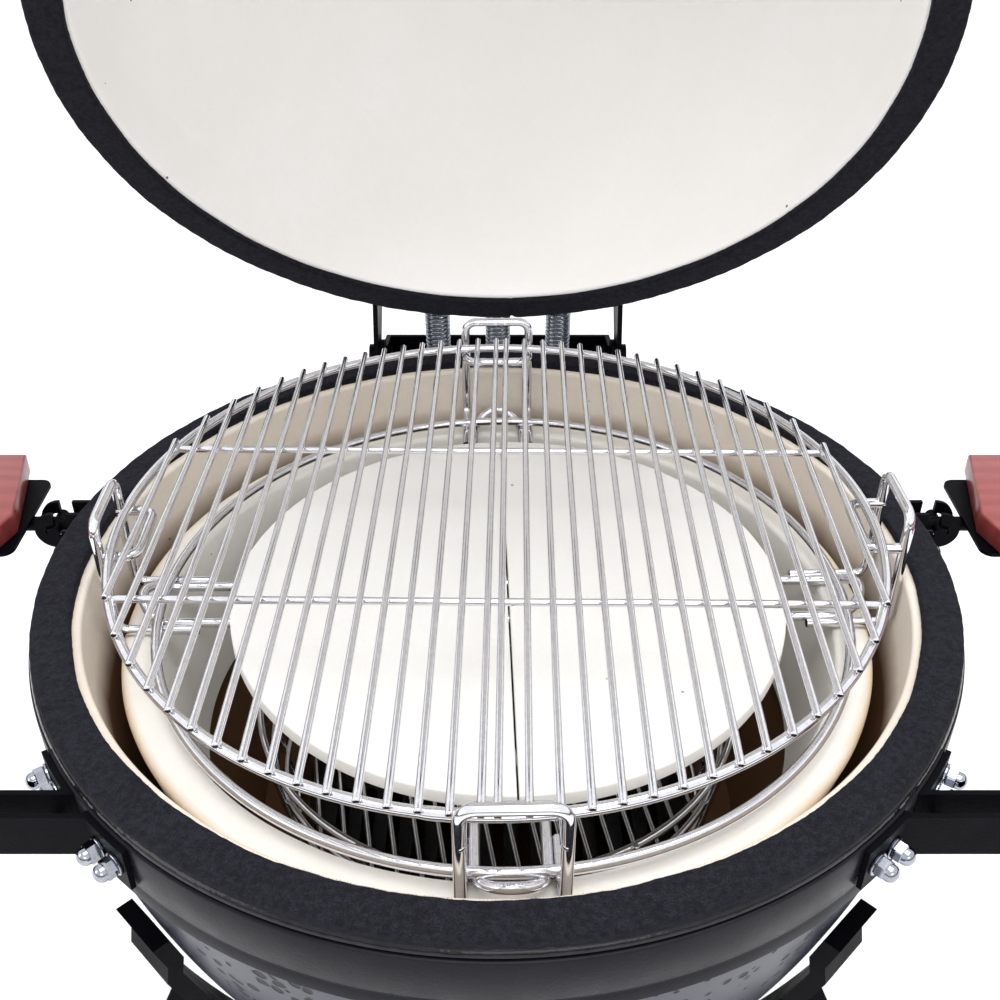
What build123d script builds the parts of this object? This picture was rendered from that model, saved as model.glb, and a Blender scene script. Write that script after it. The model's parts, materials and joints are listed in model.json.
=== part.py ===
from build123d import *

import math
import os

# A kamado: a ceramic charcoal grill with a sprung lid, on a wheeled cart with folding shelves.
# Millimetres. The working frame has its origin at the centre of the base gasket's top face:
# +X to the cook's right, +Y away from the cook, +Z up. The lid's pieces are drawn closed and
# are turned open about the hinge when they are written.

# ---- driving dimensions -------------------------------------------------------------------
GASKET_HEIGHT = 765.0  # gasket plane above the floor
CASTER_HEIGHT = 125.0  # floor to the underside of the legs
LID_OPEN = 57.6  # degrees from closed to the rest pose
RUN = 0.3  # gap between pieces that move past each other
PIN_RUN = 0.05  # radial clearance of a pin in its hole
SEAT = 0.1  # gap between pieces that rest on each other

RIM_R = 278.0  # outer radius of the ceramic rim
WALL = 28.0  # base wall
BASE_DEPTH = 366.0  # rim to the underside of the base
FOOT_R = 150.0  # outer radius of the base's foot
BODY_BULGE = 14.0  # how far the side bows out from a straight cone
SHOULDER = 48.0  # height of the straight rim zone
FELT_T = 6.0
FELT_W = 23.0
BAND_T = 3.0
BAND_H = 40.0
BAND_DROP = 6.0  # ceramic bead left free between felt and band
CLAMP_GAP = 10.0  # between the band's two turned-out ends
CLAMP_EAR = 22.0
CLAMP_BOLT_R = 3.0
CLAMP_BOLT_OUT = 14.0

LID_WALL = 22.0
LID_RISE = 190.0  # height of the lid's dome above its straight zone
LID_NECK_R = 66.0
VENT_R = 46.0  # opening through the lid

HINGE_OUT = 22.7  # the hinge axis stands this far behind the band
HINGE_Z = -19.5
HINGE_ARM_X = 97.0  # middle of each lower hinge plate
PLATE_T = 4.0
SPRING_SPACING = 52.0
SPRING_R = 9.3  # mean radius of a coil
SPRING_WIRE = 1.25  # radius of the spring wire
SPRING_PITCH = 5.2
SPRING_LOW_BACK = 45.0  # the fixed spring rod, behind the hinge axis
SPRING_LOW_Z = -80.0
SPRING_HIGH_BACK = 33.0  # the lid's spring rod behind the hinge axis while the lid is open
SPRING_HIGH_Z = 18.0
SPRING_ROD_R = 4.0

FIRE_RING_TOP = -43.0
FIRE_RING_H = 88.0
FIRE_RING_WALL = 23.0
FIRE_GAP = 15.0  # between the fire ring and the base wall at its top
FIREBOX_WALL = 17.0
FIREBOX_GAP = 9.0
GRATE_RISE = 165.7  # underside of the base to the top of the charcoal grate
CHARCOAL_GRATE_R = 134.0
CHARCOAL_GRATE_T = 10.0
BASKET_R = 158.0
BASKET_H = 92.0
BASKET_WIRE = 2.5

RACK_WIRE = 3.2  # radius of the rack's wire
RACK_GAP = 9.5  # from the middle of a handle's wire to the base wall
RACK_SHIFT = 3.8  # the loose rack stands this far right of centre
RACK_HANDLE_W = 49.0
RACK_HANDLE_TOP = 41.0
RACK_SEAT = 19.0  # the rack's ring lies this far inside the fire ring's edge
DEFLECTOR_R = 174.0
DEFLECTOR_T = 10.0
DEFLECTOR_SEAM = 1.2
GRILL_GAP = 10.5  # between the middle of the grate's ring and the handles' radius
GRILL_RING_WIRE = 3.0
GRILL_BAR = 2.05
GRILL_MIDDLE = 7.6  # space between the two middle bars
GRILL_PITCH = 14.15
GRILL_CROSS_Y = 79.0

BOSS_OUT = 1.9  # the draft door's ceramic boss stands this far outside the body at the door's top
DRAFT_RISE = 32.0  # underside of the base to the draft frame
DRAFT_H = 59.0
DRAFT_WINDOW_H = 42.0
DRAFT_WINDOW_HALF = 10.0  # degrees
DRAFT_TRAVEL = 22.5  # degrees

HANDLE_X = 112.0
HANDLE_REACH = 52.0
HANDLE_GRIP_R = 15.0

ROD_Z = -27.0
ROD_R = 5.0
ROD_Y = 129.0  # each shelf rod is this far from the shelf's middle
SHELF_Y = -61.0
SHELF_GAP = 19.0  # from the pivots to the nearest slat's point
SHELF_L = 303.0
SLAT_W = 115.0
SLAT_GAP = 9.5
SLAT_T = 16.0
BRACKET_GAP = 12.0  # between a bracket's two plates
BRACKET_H = 27.0
BRACKET_T = 3.0
PIVOT_OUT = 19.7  # from the band to a shelf's pivots

LEG_ANGLES = (45, 135, 225, 315)
LEG_SPREAD = 22.0  # the casters' swivel axes stand this far outside the rim
ARM_T = 10.0
ARM_W = 38.0
LEG_W = 30.0
WHEEL_R = 37.5
WHEEL_W = 24.0
TRAIL = 22.0

# ---- derived dimensions -------------------------------------------------------------------
RIM_Z = -FELT_T  # top of the base ceramic
INNER_R = RIM_R - WALL
SIDE_R = RIM_R - 1.0  # ceramic under the band
BODY_TOP_Z = RIM_Z - SHOULDER
BODY_TOP_R = SIDE_R - 3.0
BASE_BOTTOM = RIM_Z - BASE_DEPTH
BASE_FLOOR = BASE_BOTTOM + WALL
BAND_R = SIDE_R + 0.3
BAND_OUT = BAND_R + BAND_T
BAND_TOP = RIM_Z - BAND_DROP
FIRE_RING_R = INNER_R - FIRE_GAP
GRATE_LEVEL = BASE_BOTTOM + GRATE_RISE
RACK_R = INNER_R - RACK_GAP
RACK_RING_R = FIRE_RING_R - RACK_SEAT
GRILL_R = RACK_R - GRILL_GAP
GRILL_BARS = int((GRILL_R - 2 * GRILL_RING_WIRE - GRILL_MIDDLE / 2) / GRILL_PITCH) + 1
DRAFT_LOW = BASE_BOTTOM + DRAFT_RISE
DRAFT_HIGH = DRAFT_LOW + DRAFT_H
PIVOT_X = BAND_OUT + PIVOT_OUT
SHELF_IN = PIVOT_X + SHELF_GAP
SHELF_OUT = SHELF_IN + SHELF_L
LEG_OUT = RIM_R + LEG_SPREAD
HINGE_Y = BAND_OUT + HINGE_OUT
SPRING_LOW = (HINGE_Y + SPRING_LOW_BACK, SPRING_LOW_Z)
SPRING_HIGH = (HINGE_Y + SPRING_HIGH_BACK, SPRING_HIGH_Z)

# The side of the base is one arc. Its centre and radius give the body's radius at any height.
CHORD_X = BODY_TOP_R - FOOT_R
CHORD_Z = BODY_TOP_Z - BASE_BOTTOM
CHORD = math.hypot(CHORD_X, CHORD_Z)
SIDE_ARC_R = (CHORD**2 / 4 + BODY_BULGE**2) / (2 * BODY_BULGE)
ARC_X = (BODY_TOP_R + FOOT_R) / 2 - (SIDE_ARC_R - BODY_BULGE) * CHORD_Z / CHORD
ARC_Z = (BODY_TOP_Z + BASE_BOTTOM) / 2 + (SIDE_ARC_R - BODY_BULGE) * CHORD_X / CHORD


def body_r(z, inset=0.0):
    """Radius of the base's side at height z, on a surface this far inside the outer one."""
    return ARC_X + math.sqrt((SIDE_ARC_R - inset) ** 2 - (z - ARC_Z) ** 2)


def on_body(z, inset=0.0):
    return (body_r(z, inset), z)


def body_arc(high, low, inset=0.0):
    """Three points of the side's arc, from high to low."""
    return on_body(high, inset), on_body((high + low) / 2, inset), on_body(low, inset)


HINGE_AXIS = Axis((0, HINGE_Y, HINGE_Z), (1, 0, 0))


def closed(y, z):
    """Where a point of the open lid, given as y and z, stands once the lid is closed."""
    turn = math.radians(LID_OPEN)
    dy, dz = y - HINGE_Y, z - HINGE_Z
    return (
        HINGE_Y + dy * math.cos(turn) - dz * math.sin(turn),
        HINGE_Z + dy * math.sin(turn) + dz * math.cos(turn),
    )


pieces = []
lid_pieces = []


# ---- base: ceramic shell, felt and band ----------------------------------------------------
def sector(r_in, r_out, middle, half):
    """A ring sector drawn in the sketch plane; middle and half are angles in degrees."""
    with BuildSketch(mode=Mode.PRIVATE) as shape:
        with BuildLine():
            a, b = middle - half, middle + half
            CenterArc((0, 0), r_out, a, 2 * half)
            CenterArc((0, 0), r_in, a, 2 * half)
            for end in (a, b):
                c, s = math.cos(math.radians(end)), math.sin(math.radians(end))
                Line((r_in * c, r_in * s), (r_out * c, r_out * s))
        make_face()
    return shape.sketch


BOSS_HALF = 40.0
BOSS_LOW = DRAFT_LOW - 5.0
BOSS_R = body_r(DRAFT_HIGH) + BOSS_OUT

with BuildPart() as base_shell:
    with BuildSketch(Plane.XZ):
        with BuildLine():
            RadiusArc((RIM_R - 3, RIM_Z), (RIM_R + 1, RIM_Z - 4), 4)
            Line((RIM_R + 1, RIM_Z - 4), (SIDE_R, BAND_TOP + 0.5))
            Line((SIDE_R, BAND_TOP + 0.5), (SIDE_R, BODY_TOP_Z + 4))
            Line((SIDE_R, BODY_TOP_Z + 4), (BODY_TOP_R, BODY_TOP_Z))
            ThreePointArc(*body_arc(BODY_TOP_Z, BASE_BOTTOM))
            Polyline((FOOT_R, BASE_BOTTOM), (0, BASE_BOTTOM), (0, RIM_Z), (RIM_R - 3, RIM_Z))
        make_face()
    revolve(axis=Axis.Z)
    with BuildSketch(Plane.XY.offset(BOSS_LOW)):
        add(sector(FOOT_R * 0.6, BOSS_R, -90, BOSS_HALF))
    extrude(amount=DRAFT_HIGH - BOSS_LOW + 12)
    with BuildSketch(Plane.XZ):
        with BuildLine():
            ThreePointArc(*body_arc(BODY_TOP_Z, BASE_FLOOR, WALL))
            Polyline(
                on_body(BASE_FLOOR, WALL),
                (0, BASE_FLOOR),
                (0, RIM_Z),
                (INNER_R + 3, RIM_Z),
                (INNER_R, RIM_Z - 3),
                (INNER_R, BODY_TOP_Z + 20),
                on_body(BODY_TOP_Z, WALL),
            )
        make_face()
    revolve(axis=Axis.Z, mode=Mode.SUBTRACT)
    WINDOW_MID = (DRAFT_LOW + DRAFT_HIGH) / 2
    with BuildSketch(Plane.XY.offset(WINDOW_MID - DRAFT_WINDOW_H / 2)):
        add(sector(FOOT_R * 0.6, BOSS_R + 5, -90, DRAFT_WINDOW_HALF))
    extrude(amount=DRAFT_WINDOW_H, mode=Mode.SUBTRACT)
base_shell.part.label = "base_shell"
pieces.append(base_shell.part)


def gasket(low):
    """A felt ring with soft edges, its underside at this height."""
    with BuildPart() as felt:
        with BuildSketch(Plane.XY.offset(low)):
            Circle(RIM_R)
            Circle(RIM_R - FELT_W, mode=Mode.SUBTRACT)
        extrude(amount=FELT_T - RUN)
        fillet(felt.edges().group_by(Axis.Z)[-1], radius=2)
    return felt.part


def band(low, ears):
    """A steel strap, split at the back, with a rolled lip; ears are the two ends turned out."""
    with BuildPart() as strap:
        with BuildSketch(Plane.XZ):
            with BuildLine():
                Polyline(
                    (BAND_R, low),
                    (BAND_OUT - 0.5, low),
                    (BAND_OUT - 0.5, low + 12),
                    (BAND_OUT, low + 13),
                    (BAND_OUT, low + BAND_H - 1),
                    (BAND_OUT - 1, low + BAND_H),
                    (BAND_R, low + BAND_H),
                    close=True,
                )
            make_face()
        revolve(axis=Axis.Z)
        with BuildSketch(Plane.XY.offset(low)):
            with Locations((0, RIM_R)):
                Rectangle(CLAMP_GAP, 4 * BAND_T + 20)
        extrude(amount=BAND_H, mode=Mode.SUBTRACT)
        if ears:
            with BuildSketch(Plane.XY.offset(low)):
                for side in (-1, 1):
                    with Locations((side * (CLAMP_GAP / 2 + BAND_T / 2), BAND_R + CLAMP_EAR / 2)):
                        Rectangle(BAND_T, CLAMP_EAR)
            extrude(amount=BAND_H)
            for height in (low + 0.28 * BAND_H, low + 0.72 * BAND_H):
                bolt = Plane((0, BAND_R + CLAMP_BOLT_OUT, height), x_dir=(0, 1, 0), z_dir=(1, 0, 0))
                with Locations(bolt):
                    Hole(radius=CLAMP_BOLT_R + PIN_RUN, depth=CLAMP_GAP)
    return strap.part


base_gasket = gasket(-FELT_T)
base_gasket.label = "base_gasket"
pieces.append(base_gasket)

base_band = band(BAND_TOP - BAND_H, True)
base_band.label = "base_band"
pieces.append(base_band)


def clamp_bolts(low):
    """The two bolts, each with head and nut, that draw a band's ends together."""
    ear = CLAMP_GAP / 2 + BAND_T
    with BuildPart() as bolts:
        for height in (low + 0.28 * BAND_H, low + 0.72 * BAND_H):
            middle = Plane((0, BAND_R + CLAMP_BOLT_OUT, height), x_dir=(0, 1, 0), z_dir=(1, 0, 0))
            with BuildSketch(middle.offset(-ear - 6)):
                Circle(CLAMP_BOLT_R)
            extrude(amount=2 * ear + 14)
            for start in (-ear - SEAT - 5, ear + SEAT):
                with BuildSketch(middle.offset(start)):
                    RegularPolygon(radius=6, side_count=6)
                extrude(amount=5)
    return bolts.part


band_clamp_bolts = clamp_bolts(BAND_TOP - BAND_H)
band_clamp_bolts.label = "band_clamp_bolts"
pieces.append(band_clamp_bolts)

# ---- inside the base: fire ring, fire box, grate and basket --------------------------------
FIRE_RING_LOW = FIRE_RING_TOP - FIRE_RING_H
FIRE_RING_LOW_R = body_r(FIRE_RING_LOW, WALL) - FIREBOX_GAP

with BuildPart() as fire_ring:
    with BuildSketch(Plane.XZ):
        with BuildLine():
            Polyline(
                (FIRE_RING_R, FIRE_RING_TOP),
                (FIRE_RING_LOW_R, FIRE_RING_LOW),
                (FIRE_RING_LOW_R - FIRE_RING_WALL, FIRE_RING_LOW),
                (FIRE_RING_R - FIRE_RING_WALL, FIRE_RING_TOP),
                close=True,
            )
        make_face()
    revolve(axis=Axis.Z)
    fillet(fire_ring.edges().group_by(Axis.Z)[-1], radius=3)
fire_ring.part.label = "fire_ring"
pieces.append(fire_ring.part)

BOX_TOP = FIRE_RING_LOW - SEAT
BOX_LOW = BASE_FLOOR + SEAT
LEDGE = GRATE_LEVEL - CHARCOAL_GRATE_T
INSET = WALL + FIREBOX_GAP

with BuildPart() as fire_box:
    with BuildSketch(Plane.XZ):
        with BuildLine():
            ThreePointArc(*body_arc(BOX_TOP, BOX_LOW, INSET))
            Polyline(
                on_body(BOX_LOW, INSET),
                (body_r(BOX_LOW, INSET) - FIREBOX_WALL, BOX_LOW),
                (CHARCOAL_GRATE_R - 12, LEDGE - 18),
                (CHARCOAL_GRATE_R - 12, LEDGE),
                (max(CHARCOAL_GRATE_R + 3, body_r(LEDGE, INSET + FIREBOX_WALL)), LEDGE),
                (body_r(BOX_TOP, INSET) - FIREBOX_WALL, BOX_TOP),
                on_body(BOX_TOP, INSET),
            )
        make_face()
    revolve(axis=Axis.Z)
    with BuildSketch(Plane.XZ):
        with Locations((0, WINDOW_MID)):
            Rectangle(90, DRAFT_WINDOW_H + 8)
    extrude(amount=BODY_TOP_R, mode=Mode.SUBTRACT)
    for angle in range(15, 360, 30):
        hole = Plane((0, 0, LEDGE + 28), x_dir=(0, 0, 1), z_dir=Vector(1, 0, 0).rotate(Axis.Z, angle))
        with BuildSketch(hole):
            Circle(7)
        extrude(amount=BODY_TOP_R, mode=Mode.SUBTRACT)
fire_box.part.label = "fire_box"
pieces.append(fire_box.part)

GRATE_SLOT = 9.0
GRATE_BAR_PITCH = 18.0

with BuildPart() as charcoal_grate:
    with BuildSketch(Plane.XY.offset(LEDGE + SEAT)):
        Circle(CHARCOAL_GRATE_R)
        count = int((CHARCOAL_GRATE_R - 14) / GRATE_BAR_PITCH)
        for i in range(-count, count + 1):
            x = i * GRATE_BAR_PITCH
            length = 2 * math.sqrt((CHARCOAL_GRATE_R - 11) ** 2 - x**2)
            for side in (-1, 1):
                with Locations((x, side * (length / 4 + 3))):
                    slot = max(length / 2 - 10, GRATE_SLOT + 1)
                    SlotOverall(slot, GRATE_SLOT, rotation=90, mode=Mode.SUBTRACT)
    extrude(amount=CHARCOAL_GRATE_T - SEAT)
charcoal_grate.part.label = "charcoal_grate"
pieces.append(charcoal_grate.part)


def wire(path, radius):
    """A round wire that follows a path."""
    with BuildPart() as bent:
        with BuildSketch(Plane(path @ 0, z_dir=path % 0)):
            Circle(radius)
        sweep(path=path)
    return bent.part


def ring_wire(r, z, radius, shift=0.0):
    """A round wire bent into a closed ring, its centre shifted along X."""
    with BuildPart() as ring:
        with BuildSketch(Plane.XZ):
            with Locations((r + shift, z)):
                Circle(radius)
        revolve(axis=Axis((shift, 0, 0), (0, 0, 1)))
    return ring.part


def rod(start, end, radius):
    """A straight round rod between two points."""
    way = Vector(*end) - Vector(*start)
    with BuildPart() as bar:
        with BuildSketch(Plane(start, z_dir=way)):
            Circle(radius)
        extrude(amount=way.length)
    return bar.part


BASKET_LOW = GRATE_LEVEL + RUN + BASKET_WIRE
BASKET_TAPER = 16.0
BASKET_RINGS = 4
BASKET_POSTS = 12
BASKET_BAR = 2.0
BASKET_PITCH = 16.0
BASKET_FLOOR = BASKET_LOW + BASKET_WIRE + BASKET_BAR - 0.4
BASKET_TURN = 10.0  # degrees; the loose basket never sits quite square

basket_wires = []
for i in range(BASKET_RINGS):
    share = i / (BASKET_RINGS - 1)
    r = BASKET_R - BASKET_TAPER * (1 - share)
    basket_wires.append(ring_wire(r, BASKET_LOW + share * BASKET_H, BASKET_WIRE))
for i in range(BASKET_POSTS):
    turn = 360 * i / BASKET_POSTS
    top = Vector(BASKET_R + 3.6, 0, BASKET_LOW + BASKET_H + 5).rotate(Axis.Z, turn)
    foot = Vector(BASKET_R - BASKET_TAPER + 3.6, 0, BASKET_LOW - 1).rotate(Axis.Z, turn)
    basket_wires.append(rod(tuple(foot), tuple(top), BASKET_BAR))
floor_r = BASKET_R - BASKET_TAPER
floor_bars = int(floor_r / BASKET_PITCH)
for i in range(-floor_bars, floor_bars + 1):
    x = i * BASKET_PITCH
    half = math.sqrt(floor_r**2 - x**2)
    low = Vector(x, -half, BASKET_FLOOR).rotate(Axis.Z, BASKET_TURN)
    high = Vector(x, half, BASKET_FLOOR).rotate(Axis.Z, BASKET_TURN)
    basket_wires.append(rod(tuple(low), tuple(high), BASKET_BAR))

with BuildPart() as charcoal_basket:
    add(basket_wires)
charcoal_basket.part.label = "charcoal_basket"
pieces.append(charcoal_basket.part)

# ---- draft door in the base -----------------------------------------------------------------
FRAME_R = BOSS_R + 0.3
FRAME_T = 2.0
SCREEN_R = FRAME_R + FRAME_T + 0.5
SCREEN_T = 1.0
DOOR_R = SCREEN_R + SCREEN_T + 0.8
DOOR_T = 1.5
LIP_R = DOOR_R + DOOR_T + 1.3
LIP_T = 1.5
FRAME_HALF = 38.5
DOOR_HALF = DRAFT_WINDOW_HALF + 2.0
SCREEN_TAIL = 3.5

with BuildPart() as draft_frame:
    with BuildSketch(Plane.XY.offset(DRAFT_LOW)):
        add(sector(FRAME_R, LIP_R + LIP_T, -90, FRAME_HALF))
    extrude(amount=DRAFT_HIGH - DRAFT_LOW)
    with BuildSketch(Plane.XY.offset(DRAFT_LOW + LIP_T)):
        add(sector(FRAME_R + FRAME_T, LIP_R, -90, FRAME_HALF))
    extrude(amount=DRAFT_HIGH - DRAFT_LOW - 2 * LIP_T, mode=Mode.SUBTRACT)
    with BuildSketch(Plane.XY.offset(DRAFT_LOW + 4 * LIP_T)):
        add(sector(LIP_R - 1, LIP_R + 2 * LIP_T, -90, FRAME_HALF))
    extrude(amount=DRAFT_HIGH - DRAFT_LOW - 8 * LIP_T, mode=Mode.SUBTRACT)
    with BuildSketch(Plane.XY.offset(WINDOW_MID - DRAFT_WINDOW_H / 2 + 1)):
        add(sector(FRAME_R - 1, FRAME_R + FRAME_T + 1, -90, DRAFT_WINDOW_HALF - 0.3))
    extrude(amount=DRAFT_WINDOW_H - 2, mode=Mode.SUBTRACT)
draft_frame.part.label = "draft_frame"
pieces.append(draft_frame.part)

SLIDE_LOW = DRAFT_LOW + LIP_T + RUN
SLIDE_H = DRAFT_HIGH - DRAFT_LOW - 2 * LIP_T - 2 * RUN

with BuildPart() as draft_door:
    with BuildSketch(Plane.XY.offset(SLIDE_LOW)):
        add(sector(DOOR_R, DOOR_R + DOOR_T, -90, DOOR_HALF))
    extrude(amount=SLIDE_H)
    with BuildSketch(Plane((0, -DOOR_R - 0.5, WINDOW_MID), x_dir=(1, 0, 0), z_dir=(0, -1, 0))):
        Circle(7)
    extrude(amount=16)
draft_door.part.label = "draft_door"
pieces.append(draft_door.part)

with BuildPart() as draft_screen:
    with BuildSketch(Plane.XY.offset(SLIDE_LOW)):
        add(sector(SCREEN_R, SCREEN_R + SCREEN_T, -90 - SCREEN_TAIL / 2, DOOR_HALF + SCREEN_TAIL / 2))
    extrude(amount=SLIDE_H)
    with BuildSketch(Plane.XY.offset(WINDOW_MID - 12)):
        add(sector(SCREEN_R + 0.2, LIP_R + 8, -90 - DOOR_HALF - SCREEN_TAIL + 1.2, 0.3))
    extrude(amount=24)
    for row in range(-2, 3):
        with BuildSketch(Plane.XY.offset(WINDOW_MID + 8 * row - 3)):
            for column in range(-4, 5):
                add(sector(SCREEN_R - 1, SCREEN_R + 2, -90 + 2.2 * column, 0.8))
        extrude(amount=6, mode=Mode.SUBTRACT)
draft_screen.part.label = "draft_screen"
pieces.append(draft_screen.part)

# ---- rack, deflectors and cooking grate -----------------------------------------------------
RACK_LOW = FIRE_RING_TOP + RUN + RACK_WIRE  # wire centre of the loops that stand on the fire ring
LOOP_HALF = RACK_HANDLE_W / 2 - 2 * RACK_WIRE + 0.2
LOOP_END = RACK_RING_R + 12.0
GRILL_Z = 24.0
CARRIER_Z = GRILL_Z - GRILL_RING_WIRE - RACK_WIRE - RUN
CARRIER_R = GRILL_R - 11.0

rack_wires = [ring_wire(RACK_RING_R, RACK_LOW + 2 * RACK_WIRE - 0.4, RACK_WIRE, RACK_SHIFT)]
for angle in (0, 90):
    turned = Plane((RACK_SHIFT, 0, RACK_LOW)).rotated((0, 0, angle))
    straight = LOOP_END - LOOP_HALF
    with BuildLine(turned) as loop:
        Line((0, -LOOP_HALF), (straight, -LOOP_HALF))
        ThreePointArc((straight, -LOOP_HALF), (LOOP_END, 0), (straight, LOOP_HALF))
        Line((straight, LOOP_HALF), (-straight, LOOP_HALF))
        ThreePointArc((-straight, LOOP_HALF), (-LOOP_END, 0), (-straight, -LOOP_HALF))
        Line((-straight, -LOOP_HALF), (0, -LOOP_HALF))
    rack_wires.append(wire(loop.wire(), RACK_WIRE))
for angle in (0, 90, 180, 270):
    side = Plane((RACK_SHIFT, 0, 0)).rotated((0, 0, angle))
    half = RACK_HANDLE_W / 2
    foot_r = RACK_RING_R - 26
    corners = [
        (foot_r, -half, RACK_LOW),
        (RACK_R, -half, RACK_LOW),
        (RACK_R, -half, RACK_HANDLE_TOP),
        (RACK_R, half, RACK_HANDLE_TOP),
        (RACK_R, half, RACK_LOW),
        (foot_r, half, RACK_LOW),
    ]
    with BuildLine() as handle:
        FilletPolyline(*[side.from_local_coords(p) for p in corners], radius=8)
    rack_wires.append(wire(handle.wire(), RACK_WIRE))
    inner = half - 0.6
    carrier = [
        (RACK_R, -inner, CARRIER_Z),
        (CARRIER_R, -inner, CARRIER_Z),
        (CARRIER_R, inner, CARRIER_Z),
        (RACK_R, inner, CARRIER_Z),
    ]
    with BuildLine() as support:
        FilletPolyline(*[side.from_local_coords(p) for p in carrier], radius=8)
    rack_wires.append(wire(support.wire(), RACK_WIRE))

with BuildPart() as heat_rack:
    add(rack_wires)
heat_rack.part.label = "heat_rack"
pieces.append(heat_rack.part)

DEFLECTOR_LOW = RACK_LOW + RACK_WIRE + SEAT


def deflector(side):
    """One half-moon plate; side is -1 for the left one and 1 for the right one."""
    with BuildPart() as plate:
        with BuildSketch(Plane.XY.offset(DEFLECTOR_LOW)):
            with Locations((RACK_SHIFT, 0)):
                Circle(DEFLECTOR_R)
            with Locations((RACK_SHIFT + side * (DEFLECTOR_SEAM / 2 - DEFLECTOR_R), 0)):
                Rectangle(2 * DEFLECTOR_R, 3 * DEFLECTOR_R, mode=Mode.SUBTRACT)
        extrude(amount=DEFLECTOR_T)
        fillet(plate.edges().group_by(Axis.Z)[-1], radius=1)
    return plate.part


for side, name in ((-1, "deflector_left"), (1, "deflector_right")):
    half_moon = deflector(side)
    half_moon.label = name
    pieces.append(half_moon)

BAR_Z = GRILL_Z + GRILL_RING_WIRE + GRILL_BAR - 0.3
CROSS_WIRE = 2.3

grate_wires = [ring_wire(GRILL_R, GRILL_Z, GRILL_RING_WIRE)]
for side in (-1, 1):
    reach = math.sqrt(GRILL_R**2 - GRILL_CROSS_Y**2)
    level = BAR_Z - GRILL_BAR - CROSS_WIRE + 0.2
    y = side * GRILL_CROSS_Y
    grate_wires.append(rod((-reach, y, level), (reach, y, level), CROSS_WIRE))
    for i in range(GRILL_BARS):
        x = side * (GRILL_MIDDLE / 2 + i * GRILL_PITCH)
        half = math.sqrt(max(GRILL_R**2 - x**2, 0)) + 4.5
        grate_wires.append(rod((x, -half, BAR_Z), (x, half, BAR_Z), GRILL_BAR))

with BuildPart() as cooking_grate:
    add(grate_wires)
cooking_grate.part.label = "cooking_grate"
pieces.append(cooking_grate.part)

# ---- lid, drawn closed ----------------------------------------------------------------------
LID_LOW = FELT_T + RUN  # underside of the lid ceramic
LID_SPRING = LID_LOW + SHOULDER  # where the dome starts
LID_TOP = LID_SPRING + LID_RISE
DOME_MID_R = 205.0 * SIDE_R / 277.0
DOME_MID_Z = LID_SPRING + 0.64 * LID_RISE
LID_INNER_R = SIDE_R - 2 - LID_WALL


def dome(r_share, inset):
    """End points and a middle point of the dome's arc, pulled in by an inset."""
    return (
        (SIDE_R - 2 - inset, LID_SPRING),
        (DOME_MID_R - 0.74 * inset, DOME_MID_Z - 0.67 * inset),
        (r_share, LID_TOP - inset),
    )


def dome_r(z):
    """Radius of the dome's outer arc at height z, from the circle through the arc's three points."""
    (ax, az), (bx, bz), (cx, cz) = dome(LID_NECK_R, 0)
    across = 2 * (ax * (bz - cz) + bx * (cz - az) + cx * (az - bz))
    a, b, c = ax**2 + az**2, bx**2 + bz**2, cx**2 + cz**2
    middle_x = (a * (bz - cz) + b * (cz - az) + c * (az - bz)) / across
    middle_z = (a * (cx - bx) + b * (ax - cx) + c * (bx - ax)) / across
    radius = math.hypot(ax - middle_x, az - middle_z)
    return middle_x + math.sqrt(radius**2 - (z - middle_z) ** 2)


with BuildPart() as lid_shell:
    with BuildSketch(Plane.XZ):
        with BuildLine():
            ThreePointArc(*dome(LID_NECK_R, 0))
            Polyline(
                (LID_NECK_R, LID_TOP),
                (VENT_R, LID_TOP),
                (VENT_R, LID_TOP - LID_WALL + 3),
            )
            Line((VENT_R, LID_TOP - LID_WALL + 3), dome(VENT_R + 12, LID_WALL)[2])
            ThreePointArc(*dome(VENT_R + 12, LID_WALL))
            Polyline(
                dome(VENT_R + 12, LID_WALL)[0],
                (LID_INNER_R, LID_SPRING - 18),
                (LID_INNER_R, LID_LOW + 3),
                (LID_INNER_R + 3, LID_LOW),
                (RIM_R - 3, LID_LOW),
                (RIM_R + 1, LID_LOW + 4),
                (SIDE_R, LID_LOW + BAND_DROP),
                (SIDE_R, LID_SPRING - 2),
                (SIDE_R - 2, LID_SPRING),
            )
        make_face()
    revolve(axis=Axis.Z)
    GAUGE_TILT = 34.0  # the gauge's axis above the horizontal
    GAUGE_Z = DOME_MID_Z - 44.0
    GAUGE_R = dome_r(GAUGE_Z) - 4.3
    gauge = Plane(
        (0, -GAUGE_R, GAUGE_Z),
        x_dir=(1, 0, 0),
        z_dir=(0, -math.cos(math.radians(GAUGE_TILT)), math.sin(math.radians(GAUGE_TILT))),
    )
    with BuildSketch(gauge.offset(-60)):
        Circle(5)
    extrude(amount=90, mode=Mode.SUBTRACT)
lid_shell.part.label = "lid_shell"
lid_pieces.append(lid_shell.part)

lid_gasket = gasket(RUN)
lid_gasket.label = "lid_gasket"
lid_pieces.append(lid_gasket)

lid_band = band(LID_LOW + BAND_DROP, False)  # the hinge yoke bridges its split
lid_band.label = "lid_band"
lid_pieces.append(lid_band)

# ---- handle -----------------------------------------------------------------------------------
HANDLE_Z = LID_LOW + BAND_DROP + BAND_H / 2
HANDLE_FOOT_Y = -math.sqrt(BAND_OUT**2 - HANDLE_X**2)
GRIP_Y = -BAND_OUT - HANDLE_REACH
HANDLE_TURN = math.degrees(math.asin(HANDLE_X / BAND_OUT))
HANDLE_FOOT_HALF = math.degrees(27.0 / BAND_OUT)
HANDLE_BOLT = 19.0  # each bolt is this far to the side of its bracket

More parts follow.
